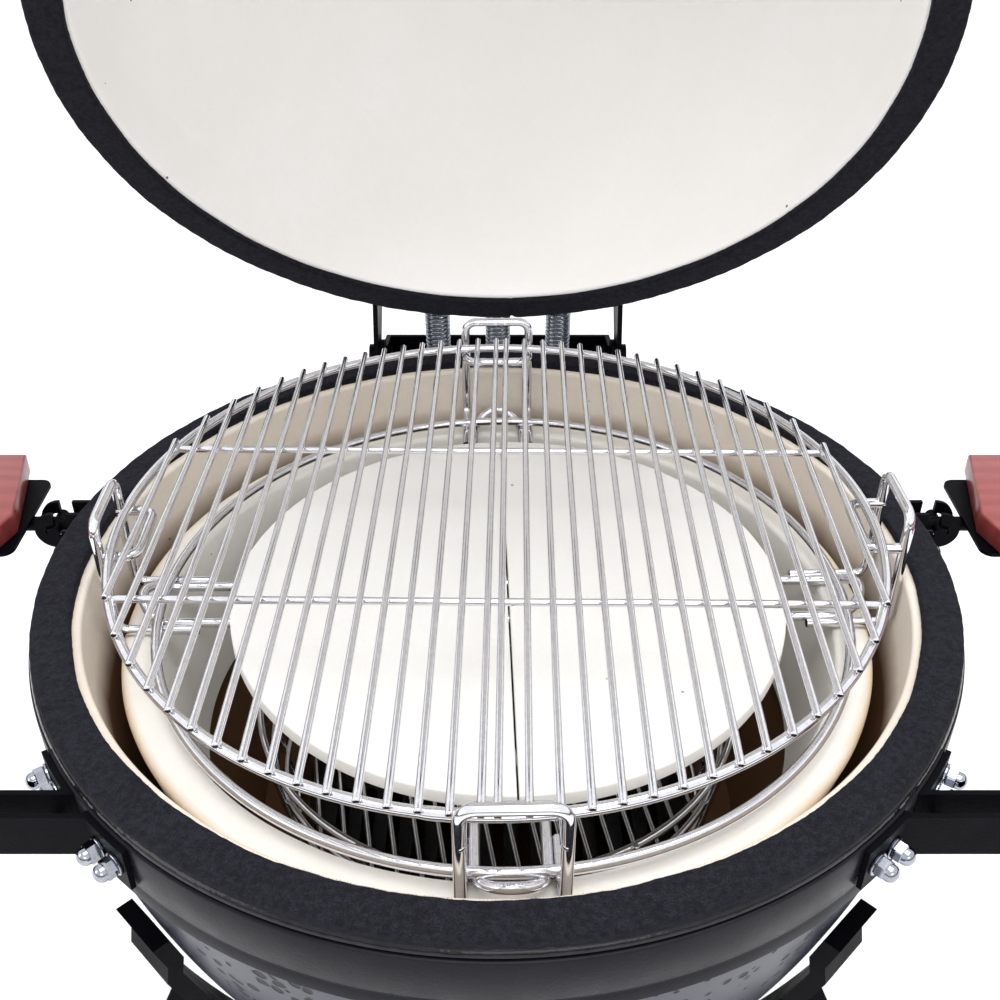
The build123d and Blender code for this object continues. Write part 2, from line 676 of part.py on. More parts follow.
with BuildPart() as handle_brackets:
    for side in (-1, 1):
        inner = HANDLE_X - 9 if side > 0 else -HANDLE_X - 9
        with BuildSketch(Plane.YZ.offset(inner)):
            with BuildLine():
                Polyline(
                    (HANDLE_FOOT_Y - 1, HANDLE_Z + 16),
                    (GRIP_Y, HANDLE_Z + 9),
                    (GRIP_Y, HANDLE_Z - 9),
                    (HANDLE_FOOT_Y - 1, HANDLE_Z - 16),
                    close=True,
                )
            make_face()
        extrude(amount=18)
    with BuildSketch(Plane.XY.offset(HANDLE_Z - 17)):
        Circle(BAND_OUT + 0.2)
    extrude(amount=34, mode=Mode.SUBTRACT)
    with BuildSketch(Plane.XY.offset(HANDLE_Z - 16)):
        for side in (-1, 1):
            middle = -90 + side * HANDLE_TURN
            add(sector(BAND_OUT + 0.2, BAND_OUT + 4.2, middle, HANDLE_FOOT_HALF))
    extrude(amount=32)
    with BuildSketch(Plane.YZ.offset(-HANDLE_X - 20)):
        with Locations((GRIP_Y, HANDLE_Z)):
            Circle(HANDLE_GRIP_R + SEAT)
    extrude(amount=2 * HANDLE_X + 40, mode=Mode.SUBTRACT)
handle_brackets.part.label = "handle_brackets"
lid_pieces.append(handle_brackets.part)

with BuildPart() as handle_grip:
    with BuildSketch(Plane.YZ.offset(-HANDLE_X - 38)):
        with Locations((GRIP_Y, HANDLE_Z)):
            Circle(HANDLE_GRIP_R)
    extrude(amount=2 * HANDLE_X + 76)
    fillet(handle_grip.edges(), radius=5)
handle_grip.part.label = "handle_grip"
lid_pieces.append(handle_grip.part)

with BuildPart() as handle_bolts:
    for side in (-1, 1):
        for end in (-1, 1):
            turn = side * HANDLE_TURN + end * math.degrees(HANDLE_BOLT / BAND_OUT)
            out = Vector(0, -1, 0).rotate(Axis.Z, turn)
            head = Plane(tuple(out * (BAND_OUT + 4.4) + Vector(0, 0, HANDLE_Z + 11.7 * end)), z_dir=out)
            with BuildSketch(head):
                RegularPolygon(radius=5.5, side_count=6)
            extrude(amount=5)
handle_bolts.part.label = "handle_bolts"
lid_pieces.append(handle_bolts.part)

# ---- temperature gauge -------------------------------------------------------------------------
GAUGE_FACE_R = 36.0
GAUGE_DEPTH = 14.0

with BuildPart() as thermometer_case:
    with BuildSketch(gauge.offset(4)):
        Circle(GAUGE_FACE_R)
    extrude(amount=GAUGE_DEPTH)
    fillet(thermometer_case.edges(), radius=2)
    with BuildSketch(gauge.offset(4 + 4)):
        Circle(GAUGE_FACE_R - 4)
    extrude(amount=GAUGE_DEPTH, mode=Mode.SUBTRACT)
    with BuildSketch(gauge.offset(-70)):
        Circle(3)
    extrude(amount=75)
thermometer_case.part.label = "thermometer_case"
lid_pieces.append(thermometer_case.part)

with BuildPart() as thermometer_dial:
    with BuildSketch(gauge.offset(8 + SEAT)):
        Circle(GAUGE_FACE_R - 4 - SEAT)
    extrude(amount=1)
    with BuildSketch(gauge.offset(9 + SEAT)):
        Circle(1.5)
    extrude(amount=3)
thermometer_dial.part.label = "thermometer_dial"
lid_pieces.append(thermometer_dial.part)

with BuildPart() as thermometer_needle:
    with BuildSketch(gauge.offset(10)):
        Circle(3.5)
        with Locations((-11, -11)):
            Rectangle(32, 1.8, rotation=45)
        Circle(1.5 + PIN_RUN, mode=Mode.SUBTRACT)
    extrude(amount=1)
thermometer_needle.part.label = "thermometer_needle"
lid_pieces.append(thermometer_needle.part)

# ---- top vent ----------------------------------------------------------------------------------
COLLAR_H = 26.0
CAP_R = LID_NECK_R - 2.0
CAP_T = 7.0
CAP_Z = LID_TOP + SEAT + COLLAR_H
CAP_PIVOT_X = CAP_R + 4.0
PIVOT_R = 4.0
PETALS = 5
PETAL_R = 8.5
PETAL_RING = 26.0
DISC_R = 42.0
DISC_T = 4.0

with BuildPart() as vent_collar:
    with BuildSketch(Plane.XZ):
        with BuildLine():
            Polyline(
                (VENT_R - 3, LID_TOP - 16),
                (VENT_R - 0.3, LID_TOP - 16),
                (VENT_R - 0.3, LID_TOP + SEAT),
                (LID_NECK_R, LID_TOP + SEAT),
                (LID_NECK_R, LID_TOP + SEAT + 6),
                (LID_NECK_R - 9, LID_TOP + SEAT + 8),
                (LID_NECK_R - 9, CAP_Z),
                (VENT_R - 3, CAP_Z),
                close=True,
            )
        make_face()
    revolve(axis=Axis.Z)
    with BuildSketch(Plane.XY.offset(LID_TOP + SEAT + 8)):
        with Locations((CAP_PIVOT_X - 6, 0)):
            Rectangle(18, 18)
        Circle(LID_NECK_R - 12, mode=Mode.SUBTRACT)
    extrude(amount=COLLAR_H - 8)
    with BuildSketch(Plane.XY.offset(CAP_Z - 10)):
        with Locations((CAP_PIVOT_X, 0)):
            Circle(PIVOT_R)
    extrude(amount=10 + CAP_T + 2)
vent_collar.part.label = "vent_collar"
lid_pieces.append(vent_collar.part)

with BuildPart() as vent_cap:
    with BuildSketch(Plane.XY.offset(CAP_Z + RUN)):
        Circle(CAP_R)
        with Locations((CAP_PIVOT_X, 0)):
            Circle(9)
        with Locations((CAP_PIVOT_X, 0)):
            Circle(PIVOT_R + PIN_RUN, mode=Mode.SUBTRACT)
        with PolarLocations(PETAL_RING, PETALS):
            Circle(PETAL_R, mode=Mode.SUBTRACT)
    extrude(amount=CAP_T)
    with BuildSketch(Plane.XY.offset(CAP_Z + RUN + CAP_T - 1)):
        Circle(3)
    extrude(amount=9)
    with BuildSketch(Plane.XY.offset(CAP_Z + RUN + 1)):
        with Locations((-CAP_R - 6, 0)):
            SlotOverall(22, 12)
    extrude(amount=CAP_T - 2)
vent_cap.part.label = "vent_cap"
lid_pieces.append(vent_cap.part)

DISC_Z = CAP_Z + RUN + CAP_T + RUN

with BuildPart() as vent_disc:
    with BuildSketch(Plane.XY.offset(DISC_Z)):
        Circle(DISC_R)
        Circle(3 + PIN_RUN, mode=Mode.SUBTRACT)
        with PolarLocations(PETAL_RING, PETALS, start_angle=180 / PETALS):
            Circle(PETAL_R, mode=Mode.SUBTRACT)
        with Locations((0, DISC_R)):
            Circle(6)
    extrude(amount=DISC_T)
    fillet(vent_disc.edges().group_by(Axis.Z)[-1].group_by(SortBy.LENGTH)[-1], radius=1)
vent_disc.part.label = "vent_disc"
lid_pieces.append(vent_disc.part)

with BuildPart() as vent_knob:
    with BuildSketch(Plane.XY.offset(DISC_Z + DISC_T + RUN)):
        Circle(8)
        Circle(3 + 0.01, mode=Mode.SUBTRACT)
    extrude(amount=4)
    with BuildSketch(Plane.XY.offset(DISC_Z + DISC_T + RUN + 4)):
        Circle(8)
    extrude(amount=8)
    fillet(vent_knob.edges().group_by(Axis.Z)[-1], radius=3)
vent_knob.part.label = "vent_knob"
lid_pieces.append(vent_knob.part)

# ---- hinge and springs ---------------------------------------------------------------------------
BRACKET_HALF_ANGLE = 27.0
HINGE_BOLT_R = 5.0
EAR_R = 13.0
YOKE_X = HINGE_ARM_X + PLATE_T + 2 * RUN
BAND_LOW = BAND_TOP - BAND_H
REAR_Y = SPRING_LOW[0] + 10.0

with BuildPart() as hinge_bracket:
    with BuildSketch(Plane.XY.offset(BAND_LOW + 3)):
        add(sector(BAND_OUT + 0.2, BAND_OUT + 3.2, 90, BRACKET_HALF_ANGLE))
    extrude(amount=BAND_H - 6)
    with BuildSketch(Plane.XY.offset(BAND_LOW + 2)):
        with Locations((0, BAND_OUT)):
            Rectangle(CLAMP_GAP + 2 * BAND_T + 20, 60)
    extrude(amount=BAND_H, mode=Mode.SUBTRACT)
    for side in (-1, 1):
        with BuildSketch(Plane.YZ.offset(side * HINGE_ARM_X - PLATE_T / 2)):
            root = math.sqrt((BAND_OUT + 0.2) ** 2 - (HINGE_ARM_X - PLATE_T) ** 2)
            with BuildLine():
                Polyline(
                    (root, BAND_TOP - 4),
                    (HINGE_Y, HINGE_Z + EAR_R),
                    (HINGE_Y + EAR_R, HINGE_Z),
                    (REAR_Y + 3, HINGE_Z - 10),
                    (REAR_Y + 3, SPRING_LOW[1] - 12),
                    (REAR_Y - 16, SPRING_LOW[1] - 12),
                    (root, BAND_LOW + 4),
                    close=True,
                )
            make_face()
            with Locations((HINGE_Y, HINGE_Z)):
                Circle(EAR_R)
            with Locations((HINGE_Y, HINGE_Z)):
                Circle(HINGE_BOLT_R + PIN_RUN, mode=Mode.SUBTRACT)
        extrude(amount=PLATE_T)
    with BuildSketch(Plane.XZ.offset(-REAR_Y)):
        with Locations((0, (HINGE_Z - 10 + SPRING_LOW[1] - 12) / 2)):
            Rectangle(2 * HINGE_ARM_X, HINGE_Z - 10 - SPRING_LOW[1] + 12)
    extrude(amount=-3)
    span = HINGE_ARM_X + PLATE_T / 2 - 0.5
    add(rod((-span, *SPRING_LOW), (span, *SPRING_LOW), SPRING_ROD_R))
    with BuildSketch(Plane.XY.offset(BAND_LOW - 1)):
        Circle(BAND_OUT + 0.2)
    extrude(amount=BAND_H + 2, mode=Mode.SUBTRACT)
hinge_bracket.part.label = "hinge_bracket"
pieces.append(hinge_bracket.part)

with BuildPart() as hinge_pins:
    for side in (-1, 1):
        out = Plane((side * (HINGE_ARM_X - PLATE_T / 2 - 6), HINGE_Y, HINGE_Z), z_dir=(side, 0, 0))
        with BuildSketch(out):
            Circle(HINGE_BOLT_R)
        extrude(amount=6 + 2 * PLATE_T + 2 * RUN + 1)
        with BuildSketch(out.offset(0.5)):
            RegularPolygon(radius=8.5, side_count=6)
        extrude(amount=5)
        with BuildSketch(out.offset(6 + 2 * PLATE_T + 3 * RUN)):
            Circle(9)
        extrude(amount=4)
hinge_pins.part.label = "hinge_pins"
pieces.append(hinge_pins.part)

yoke_y, yoke_z = closed(*SPRING_HIGH)
YOKE_LOW = LID_LOW + BAND_DROP
YOKE_ROOT = math.sqrt((BAND_OUT + 0.2) ** 2 - (YOKE_X - PLATE_T) ** 2)

with BuildPart() as hinge_yoke:
    with BuildSketch(Plane.XY.offset(YOKE_LOW + 2)):
        add(sector(BAND_OUT + 0.2, BAND_OUT + 3.2, 90, BRACKET_HALF_ANGLE))
    extrude(amount=BAND_H - 4)
    with BuildSketch(Plane.XY.offset(YOKE_LOW)):
        with Locations((0, BAND_OUT)):
            Rectangle(CLAMP_GAP + 2 * BAND_T + 20, 60)
    extrude(amount=BAND_H + 2, mode=Mode.SUBTRACT)
    for side in (-1, 1):
        with BuildSketch(Plane.YZ.offset(side * YOKE_X - PLATE_T / 2)):
            with BuildLine():
                Polyline(
                    (YOKE_ROOT, YOKE_LOW + BAND_H - 4),
                    (yoke_y + 8, YOKE_LOW + BAND_H - 4),
                    (HINGE_Y + EAR_R, HINGE_Z),
                    (HINGE_Y - EAR_R, HINGE_Z),
                    (YOKE_ROOT, YOKE_LOW + 2),
                    close=True,
                )
            make_face()
            with Locations((HINGE_Y, HINGE_Z)):
                Circle(EAR_R)
            with Locations((HINGE_Y, HINGE_Z)):
                Circle(HINGE_BOLT_R + PIN_RUN, mode=Mode.SUBTRACT)
        extrude(amount=PLATE_T)
    span = YOKE_X + PLATE_T / 2 - 0.5
    add(rod((-span, yoke_y, yoke_z), (span, yoke_y, yoke_z), SPRING_ROD_R))
    with BuildSketch(Plane.XY.offset(YOKE_LOW - 1)):
        Circle(BAND_OUT + 0.2)
    extrude(amount=BAND_H + 2, mode=Mode.SUBTRACT)
hinge_yoke.part.label = "hinge_yoke"
lid_pieces.append(hinge_yoke.part)


def coil_spring(x):
    """A helical spring between the two spring rods, with a closed hook eye at each end."""
    low = Vector(x, *SPRING_LOW)
    high = Vector(x, *SPRING_HIGH)
    way = (high - low).normalized()
    eye = SPRING_ROD_R + SPRING_WIRE + 0.3
    trim = eye + SPRING_WIRE
    length = (high - low).length - 2 * trim - 2 * SPRING_WIRE
    base = low + way * (trim + SPRING_WIRE)
    with BuildPart() as spring:
        with BuildLine(Plane(base, x_dir=(1, 0, 0), z_dir=way)) as turns:
            Helix(pitch=SPRING_PITCH, height=length, radius=SPRING_R)
        start = turns.wire()
        with BuildSketch(Plane(start @ 0, z_dir=start % 0)):
            Circle(SPRING_WIRE)
        sweep(path=start, is_frenet=True)
        for centre in (low, high):
            with BuildPart(mode=Mode.PRIVATE) as hook:
                Torus(eye, SPRING_WIRE)
            turned = hook.part.rotate(Axis.Y, 90).moved(Location(centre))
            add(turned)
    return spring.part


for x, name in ((-SPRING_SPACING, "spring_left"), (0, "spring_centre"), (SPRING_SPACING, "spring_right")):
    spring = coil_spring(x)
    spring.label = name
    pieces.append(spring)

# ---- shelf brackets on the band ----------------------------------------------------------------
PLATE_Y = (BRACKET_GAP + BRACKET_T) / 2
BRACKET_TOP = ROD_Z + BRACKET_H / 2
HOOK_R = BRACKET_H / 2
SLOT_W = 9.0
PIVOT_PIN_R = 4.0
SPACER_R = 2.5
FLANGE = 36.0
STUD_STEP = 14.0
STUD_START = 9.0  # from the plate to the first stud


def band_angle(y):
    """Angle, in degrees from +X, at which the band stands at this y."""
    return math.degrees(math.asin(y / (BAND_OUT + BRACKET_T)))


def bracket(y):
    """A right-hand shelf bracket: two plates with slotted hooks, flanges on the band, a spacer."""
    root = math.sqrt(BAND_OUT**2 - y**2) - 12
    with BuildPart() as arm:
        for side in (-1, 1):
            with BuildSketch(Plane.XZ.offset(-(y + side * PLATE_Y) - BRACKET_T / 2)):
                with Locations(((root + PIVOT_X) / 2, ROD_Z)):
                    Rectangle(PIVOT_X - root, BRACKET_H)
                with Locations((PIVOT_X, ROD_Z)):
                    Circle(HOOK_R)
                with Locations((PIVOT_X - 4, ROD_Z)):
                    SlotOverall(SLOT_W + 12, SLOT_W, mode=Mode.SUBTRACT)
                with Locations((PIVOT_X - 5, ROD_Z + HOOK_R / 2)):
                    Rectangle(SLOT_W, HOOK_R + 2, mode=Mode.SUBTRACT)
            extrude(amount=BRACKET_T)
        with BuildSketch(Plane.XY.offset(ROD_Z - HOOK_R)):
            for side in (-1, 1):
                near = band_angle(y + side * (BRACKET_GAP / 2))
                wide = side * math.degrees(FLANGE / BAND_OUT) / 2
                add(sector(BAND_OUT + 0.2, BAND_OUT + 0.2 + BRACKET_T, near + wide, abs(wide)))
        extrude(amount=BRACKET_H)
        spacer_x = min(math.sqrt(BAND_OUT**2 - y**2) + 20, PIVOT_X - 21)
        spacer_z = ROD_Z - HOOK_R + 4
        add(rod((spacer_x, y - PLATE_Y, spacer_z), (spacer_x, y + PLATE_Y, spacer_z), SPACER_R))
        with BuildSketch(Plane.XY.offset(ROD_Z - HOOK_R - 1)):
            Circle(BAND_OUT + 0.2)
        extrude(amount=BRACKET_H + 2, mode=Mode.SUBTRACT)
    return arm.part


def stud_planes(y):
    """Planes, facing out of the band, of the four studs that hold a right-hand bracket."""
    planes = []
    for side in (-1, 1):
        near = band_angle(y + side * (BRACKET_GAP / 2 + BRACKET_T))
        lean = max(0.0, -side * math.sin(math.radians(near)))
        for i in (0, 1):
            turn = near + side * math.degrees((STUD_START + 8 * lean + i * STUD_STEP) / BAND_OUT)
            out = Vector(1, 0, 0).rotate(Axis.Z, turn)
            foot = out * (BAND_OUT + 0.2 + BRACKET_T) + Vector(0, 0, ROD_Z)
            planes.append(Plane(tuple(foot), z_dir=out))
    return planes


ROD_PLACES = (SHELF_Y + ROD_Y, SHELF_Y - ROD_Y)

with BuildPart() as shelf_brackets_right:
    for y in ROD_PLACES:
        add(bracket(y))
shelf_brackets_right.part.label = "shelf_brackets_right"
pieces.append(shelf_brackets_right.part)

with BuildPart() as shelf_brackets_left:
    add(shelf_brackets_right.part)
    mirror(about=Plane.YZ, mode=Mode.REPLACE)
shelf_brackets_left.part.label = "shelf_brackets_left"
pieces.append(shelf_brackets_left.part)

with BuildPart() as acorn_nuts:
    for y in ROD_PLACES:
        for place in stud_planes(y):
            with BuildSketch(place.offset(SEAT)):
                Circle(6.5)
            extrude(amount=1.4)
            with BuildSketch(place.offset(SEAT + 1.4)):
                RegularPolygon(radius=5.7, side_count=6)
            extrude(amount=5.5)
            with BuildSketch(place.offset(SEAT + 6.9)):
                Circle(4.8)
            extrude(amount=5)
            fillet(faces().sort_by(Axis(place.origin, place.z_dir))[-1].edges(), radius=3.5)
    mirror(about=Plane.YZ)
acorn_nuts.part.label = "acorn_nuts"
pieces.append(acorn_nuts.part)

# ---- folding shelves -----------------------------------------------------------------------------
ROD_IN = PIVOT_X - 22.0
RAIL_T = 2.0
RAIL_W = 88.0
RAIL_Z = ROD_Z + ROD_R
SLAT_Z = RAIL_Z + RAIL_T + SEAT
TIE_X = (SHELF_IN + 70, SHELF_OUT - 40)

with BuildPart() as shelf_frame_right:
    for y in ROD_PLACES:
        add(rod((ROD_IN, y, ROD_Z), (SHELF_OUT - 20, y, ROD_Z), ROD_R))
        pin = PLATE_Y + BRACKET_T / 2 + 2.5
        add(rod((PIVOT_X, y - pin, ROD_Z), (PIVOT_X, y + pin, ROD_Z), PIVOT_PIN_R))
        with BuildSketch(Plane.XY.offset(RAIL_Z - 0.3)):
            with Locations(((SHELF_IN + SHELF_OUT) / 2 - 8, y)):
                RectangleRounded(SHELF_OUT - SHELF_IN - 10, RAIL_W, 8)
        extrude(amount=RAIL_T + 0.3)
    for x in TIE_X:
        with BuildSketch(Plane.XY.offset(RAIL_Z - 0.3)):
            with Locations((x, SHELF_Y)):
                Rectangle(28, 2 * ROD_Y)
        extrude(amount=RAIL_T + 0.3)
shelf_frame_right.part.label = "shelf_frame_right"
pieces.append(shelf_frame_right.part)

with BuildPart() as shelf_frame_left:
    add(shelf_frame_right.part)
    mirror(about=Plane.YZ, mode=Mode.REPLACE)
shelf_frame_left.part.label = "shelf_frame_left"
pieces.append(shelf_frame_left.part)

SLAT_STEP = SLAT_W + SLAT_GAP
SLAT_POINT = 47.0 - SHELF_Y - SLAT_STEP  # where an outer slat's end comes nearest the body


def slat(row):
    """A right-hand slat; row is 1 at the back, 0 in the middle and -1 at the front."""
    with BuildPart() as board:
        with BuildSketch(Plane.XY.offset(SLAT_Z)):
            with BuildLine():
                near, far = -SLAT_W / 2, SLAT_W / 2
                if row == 0:
                    start = [(SHELF_IN + 14, near), (SHELF_IN + 14, far)]
                else:
                    start = [(SHELF_IN + 13, near), (SHELF_IN, SLAT_POINT), (SHELF_IN + 16, far)]
                flip = row if row else 1
                outline = [(x, SHELF_Y + row * SLAT_STEP + flip * y) for x, y in start]
                outline += [
                    (SHELF_OUT, SHELF_Y + row * SLAT_STEP + flip * far),
                    (SHELF_OUT, SHELF_Y + row * SLAT_STEP + flip * near),
                ]
                Polyline(*outline, close=True)
            make_face()
        extrude(amount=SLAT_T)
        chamfer(board.edges().group_by(Axis.Z)[-1], length=1.5)
    return board.part


for row, name in ((1, "rear"), (0, "middle"), (-1, "front")):
    board = slat(row)
    with BuildPart() as other_board:
        add(board)
        mirror(about=Plane.YZ, mode=Mode.REPLACE)
    board.label = f"slat_right_{name}"
    pieces.append(board)
    other_board.part.label = f"slat_left_{name}"
    pieces.append(other_board.part)

# ---- cart -----------------------------------------------------------------------------------------
FLOOR_Z = -GASKET_HEIGHT
LEG_LOW = FLOOR_Z + CASTER_HEIGHT
ARM_TOP = BODY_TOP_Z - 54.0
ARM_END = DRAFT_HIGH + 18.0
ARM_GAP = 11.0  # between the body and the lower arm
ARM_KINK = 6.0  # the pad stands this much nearer to the body
PAD_H = 20.0
KING_R = 5.0


def cart_leg(angle):
    """A cradle arm that hugs the body, welded to a leg that splays out to its caster."""
    radial = Plane.XZ.rotated((0, 0, angle))
    high = ARM_TOP - PAD_H - 12
    with BuildPart() as leg:
        with BuildSketch(radial.offset(-ARM_W / 2)):
            with BuildLine():
                inner = [(body_r(z) + ARM_GAP, z) for z in (high, (high + ARM_END) / 2, ARM_END)]
                outer = [(r + ARM_T, z) for r, z in inner]
                ThreePointArc(*inner)
                ThreePointArc(*outer)
                Line(inner[2], outer[2])
                pad = (body_r(ARM_TOP - PAD_H) + ARM_GAP - ARM_KINK, ARM_TOP - PAD_H)
                tip = (body_r(ARM_TOP) + ARM_GAP - ARM_KINK, ARM_TOP)
                Polyline(inner[0], pad, tip, (tip[0] + ARM_T, tip[1]), (pad[0] + ARM_T, pad[1]), outer[0])
            make_face()
        extrude(amount=ARM_W)
        top = body_r(ARM_END + 76) + ARM_GAP + ARM_T - 4
        low = body_r(ARM_END) + ARM_GAP + 4
        with BuildSketch(radial.offset(-LEG_W / 2)):
            with BuildLine():
                Polyline(
                    (top, ARM_END + 76),
                    (top + 14, ARM_END + 56),
                    (LEG_OUT + LEG_W / 2, LEG_LOW),
                    (LEG_OUT - LEG_W / 2, LEG_LOW),
                    (low, ARM_END + 2),
                    close=True,
                )
            make_face()
        extrude(amount=LEG_W)
        foot = Plane((0, 0, LEG_LOW)).rotated((0, 0, angle))
        centre = foot.from_local_coords((LEG_OUT, 0, 0))
        with BuildSketch(Plane((centre.X, centre.Y, LEG_LOW - 4))):
            RectangleRounded(62, 62, 6)
        extrude(amount=4)
        with BuildSketch(Plane((centre.X, centre.Y, LEG_LOW - 8))):
            Circle(17)
        extrude(amount=4)
        with BuildSketch(Plane((centre.X, centre.Y, LEG_LOW - 20))):
            Circle(KING_R)
        extrude(amount=12)
        with BuildSketch(Plane((centre.X, centre.Y, LEG_LOW - 20))):
            Circle(9)
        extrude(amount=4)
    return leg.part


for name, angles in (("cart_legs_right", LEG_ANGLES[3:] + LEG_ANGLES[:1]), ("cart_legs_left", LEG_ANGLES[1:3])):
    with BuildPart() as pair:
        for angle in angles:
            add(cart_leg(angle))
    pair.part.label = name
    pieces.append(pair.part)

PAD_T = 7.0
RING_Z = BASE_BOTTOM - PAD_T
RING_T = 6.0
RING_OUT = FOOT_R + 12.0


def leg_inner(z):
    """Radius of a leg's inner face at height z, below the cradle arm."""
    low = body_r(ARM_END) + ARM_GAP + 4
    share = (ARM_END + 2 - z) / (ARM_END + 2 - LEG_LOW)
    return low + share * (LEG_OUT - LEG_W / 2 - low)


with BuildPart() as cart_ring:
    with BuildSketch(Plane.XY.offset(RING_Z - RING_T)):
        Circle(RING_OUT)
        Circle(RING_OUT - 55, mode=Mode.SUBTRACT)
        reach = leg_inner(RING_Z) - 0.3
        start = RING_OUT - 10
        with PolarLocations((start + reach) / 2, 4, start_angle=45):
            Rectangle(reach - start, 26)
    extrude(amount=RING_T)
cart_ring.part.label = "cart_ring"
pieces.append(cart_ring.part)

BRACE_Z = FLOOR_Z + 190.0
BRACE_T = 6.0

with BuildPart() as cart_brace:
    with BuildSketch(Plane.XY.offset(BRACE_Z)):
        Circle(70)
        reach = leg_inner(BRACE_Z + BRACE_T) - 0.3
        for turn in (45, 135):
            Rectangle(2 * reach, 30, rotation=turn)
    extrude(amount=BRACE_T)
cart_brace.part.label = "cart_brace"
pieces.append(cart_brace.part)

with BuildPart() as foot_pads:
    with BuildSketch(Plane.XY.offset(RING_Z + SEAT)):
        with PolarLocations(FOOT_R - 18, 4, start_angle=45):
            Circle(16)
    extrude(amount=PAD_T - 2 * SEAT)
foot_pads.part.label = "foot_pads"
pieces.append(foot_pads.part)

# ---- casters ----------------------------------------------------------------------------------------
CHEEK_T = 3.0
CHEEK_Y = WHEEL_W / 2 + 1.5
AXLE_R = 4.0
AXLE_Z = FLOOR_Z + WHEEL_R
CROWN_Z = LEG_LOW - 8 - RUN
CROWN_T = 6.0
BRAKE_X = -TRAIL - 16.0
BRAKE_Z = AXLE_Z + WHEEL_R + 13.0
BRAKE_PIN_R = 2.0


def caster_fork():
    """A swivel fork about the Z axis: crown, two cheeks, axle and brake pin."""
    with BuildPart() as fork:
        with BuildSketch(Plane.XY.offset(CROWN_Z - CROWN_T)):
            Circle(21)
            Circle(KING_R + PIN_RUN, mode=Mode.SUBTRACT)
        extrude(amount=CROWN_T)
        for side in (-1, 1):
            low = CHEEK_Y if side > 0 else -CHEEK_Y - CHEEK_T
            with BuildSketch(Plane.XZ.offset(-low - CHEEK_T)):
                with BuildLine():
                    Polyline(
                        (15, CROWN_Z - 1),
                        (-15, CROWN_Z - 1),
                        (BRAKE_X - 7, BRAKE_Z + 7),
                        (BRAKE_X - 7, BRAKE_Z - 7),
                        (-TRAIL - 10, AXLE_Z - 8),
                        (-TRAIL + 10, AXLE_Z - 8),
                        (15, AXLE_Z + 44),
                        close=True,
                    )
                make_face()
            extrude(amount=CHEEK_T)
        edge = CHEEK_Y + CHEEK_T
        add(rod((-TRAIL, -edge - 3, AXLE_Z), (-TRAIL, edge + 3, AXLE_Z), AXLE_R))
        add(rod((BRAKE_X, -edge + 0.5, BRAKE_Z), (BRAKE_X, edge - 0.5, BRAKE_Z), BRAKE_PIN_R))
        for side in (-1, 1):
            end = side * (edge + 0.5)
            add(rod((-TRAIL, end, AXLE_Z), (-TRAIL, end + side * 4, AXLE_Z), 7))
    return fork.part


def caster_wheel():
    """A wheel with a rounded tread and a dished web."""
    half = WHEEL_W / 2
    hub = half - RUN
    with BuildPart() as wheel:
        with BuildSketch(Plane.XY):
            with BuildLine():
                Polyline(
                    (AXLE_R + PIN_RUN, -hub),
                    (11, -hub),
                    (14, -half + 5),
                    (WHEEL_R - 9, -half + 5),
                    (WHEEL_R - 6, -half),
                    (WHEEL_R - 3, -half),
                )
                ThreePointArc((WHEEL_R - 3, -half), (WHEEL_R, 0), (WHEEL_R - 3, half))
                Polyline(
                    (WHEEL_R - 3, half),
                    (WHEEL_R - 6, half),
                    (WHEEL_R - 9, half - 5),
                    (14, half - 5),
                    (11, hub),
                    (AXLE_R + PIN_RUN, hub),
                    (AXLE_R + PIN_RUN, -hub),
                )
            make_face()
        revolve(axis=Axis.Y)
    return wheel.part.moved(Location((-TRAIL, 0, AXLE_Z)))


def caster_brake():
    """A foot lever on the brake pin."""
    width = 2 * (CHEEK_Y - RUN)
    with BuildPart() as brake:
        with BuildSketch(Plane.XZ.offset(-width / 2)):
            with BuildLine():
                Polyline(
                    (BRAKE_X, BRAKE_Z + 4.5),
                    (BRAKE_X - 34, BRAKE_Z + 9),
                    (BRAKE_X - 40, BRAKE_Z + 14),
                    (BRAKE_X - 42, BRAKE_Z + 12),
                    (BRAKE_X - 35, BRAKE_Z + 5),
                    (BRAKE_X, BRAKE_Z + 0.5),
                    close=True,
                )
            make_face()
            with Locations((BRAKE_X, BRAKE_Z)):
                Circle(4.5)
            with Locations((BRAKE_X, BRAKE_Z)):
                Circle(BRAKE_PIN_R + PIN_RUN, mode=Mode.SUBTRACT)
        extrude(amount=width)
    return brake.part


CASTERS = (
    ("rear_right", 45, 0),
    ("rear_left", 135, 180),
    ("front_left", 225, 150),
    ("front_right", 315, 30),
)
for name, angle, heading in CASTERS:
    x = LEG_OUT * math.cos(math.radians(angle))
    y = LEG_OUT * math.sin(math.radians(angle))
    place = Location((x, y, 0), (0, 0, heading + 180))
    fork = caster_fork().moved(place)
    fork.label = f"caster_fork_{name}"
    wheel = caster_wheel().moved(place)
    wheel.label = f"caster_wheel_{name}"
    pieces += [fork, wheel]
    if name.startswith("front"):
        brake = caster_brake().moved(place)
        brake.label = f"caster_brake_{name}"
        pieces.append(brake)

# ---- writing ------------------------------------------------------------------------------------------
# The lid is turned open, and everything is carried so that the origin lies on the floor, at the
# middle of the whole grill's bounding box.
open_lid = [piece.rotate(HINGE_AXIS, -LID_OPEN) for piece in lid_pieces]
for piece, turned in zip(lid_pieces, open_lid):
    turned.label = piece.label
pieces += open_lid

box = Compound(children=[piece.moved(Location()) for piece in pieces]).bounding_box()
carry = Location((0, -(box.min.Y + box.max.Y) / 2, -FLOOR_Z))
os.makedirs("parts", exist_ok=True)
for piece in pieces:
    placed = piece.moved(carry)
    placed.label = piece.label
    export_step(placed, f"parts/{piece.label}.step")
print("pieces", len(pieces), "box", box.min, box.max)
print("carried by", carry.position)
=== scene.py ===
import json
import math

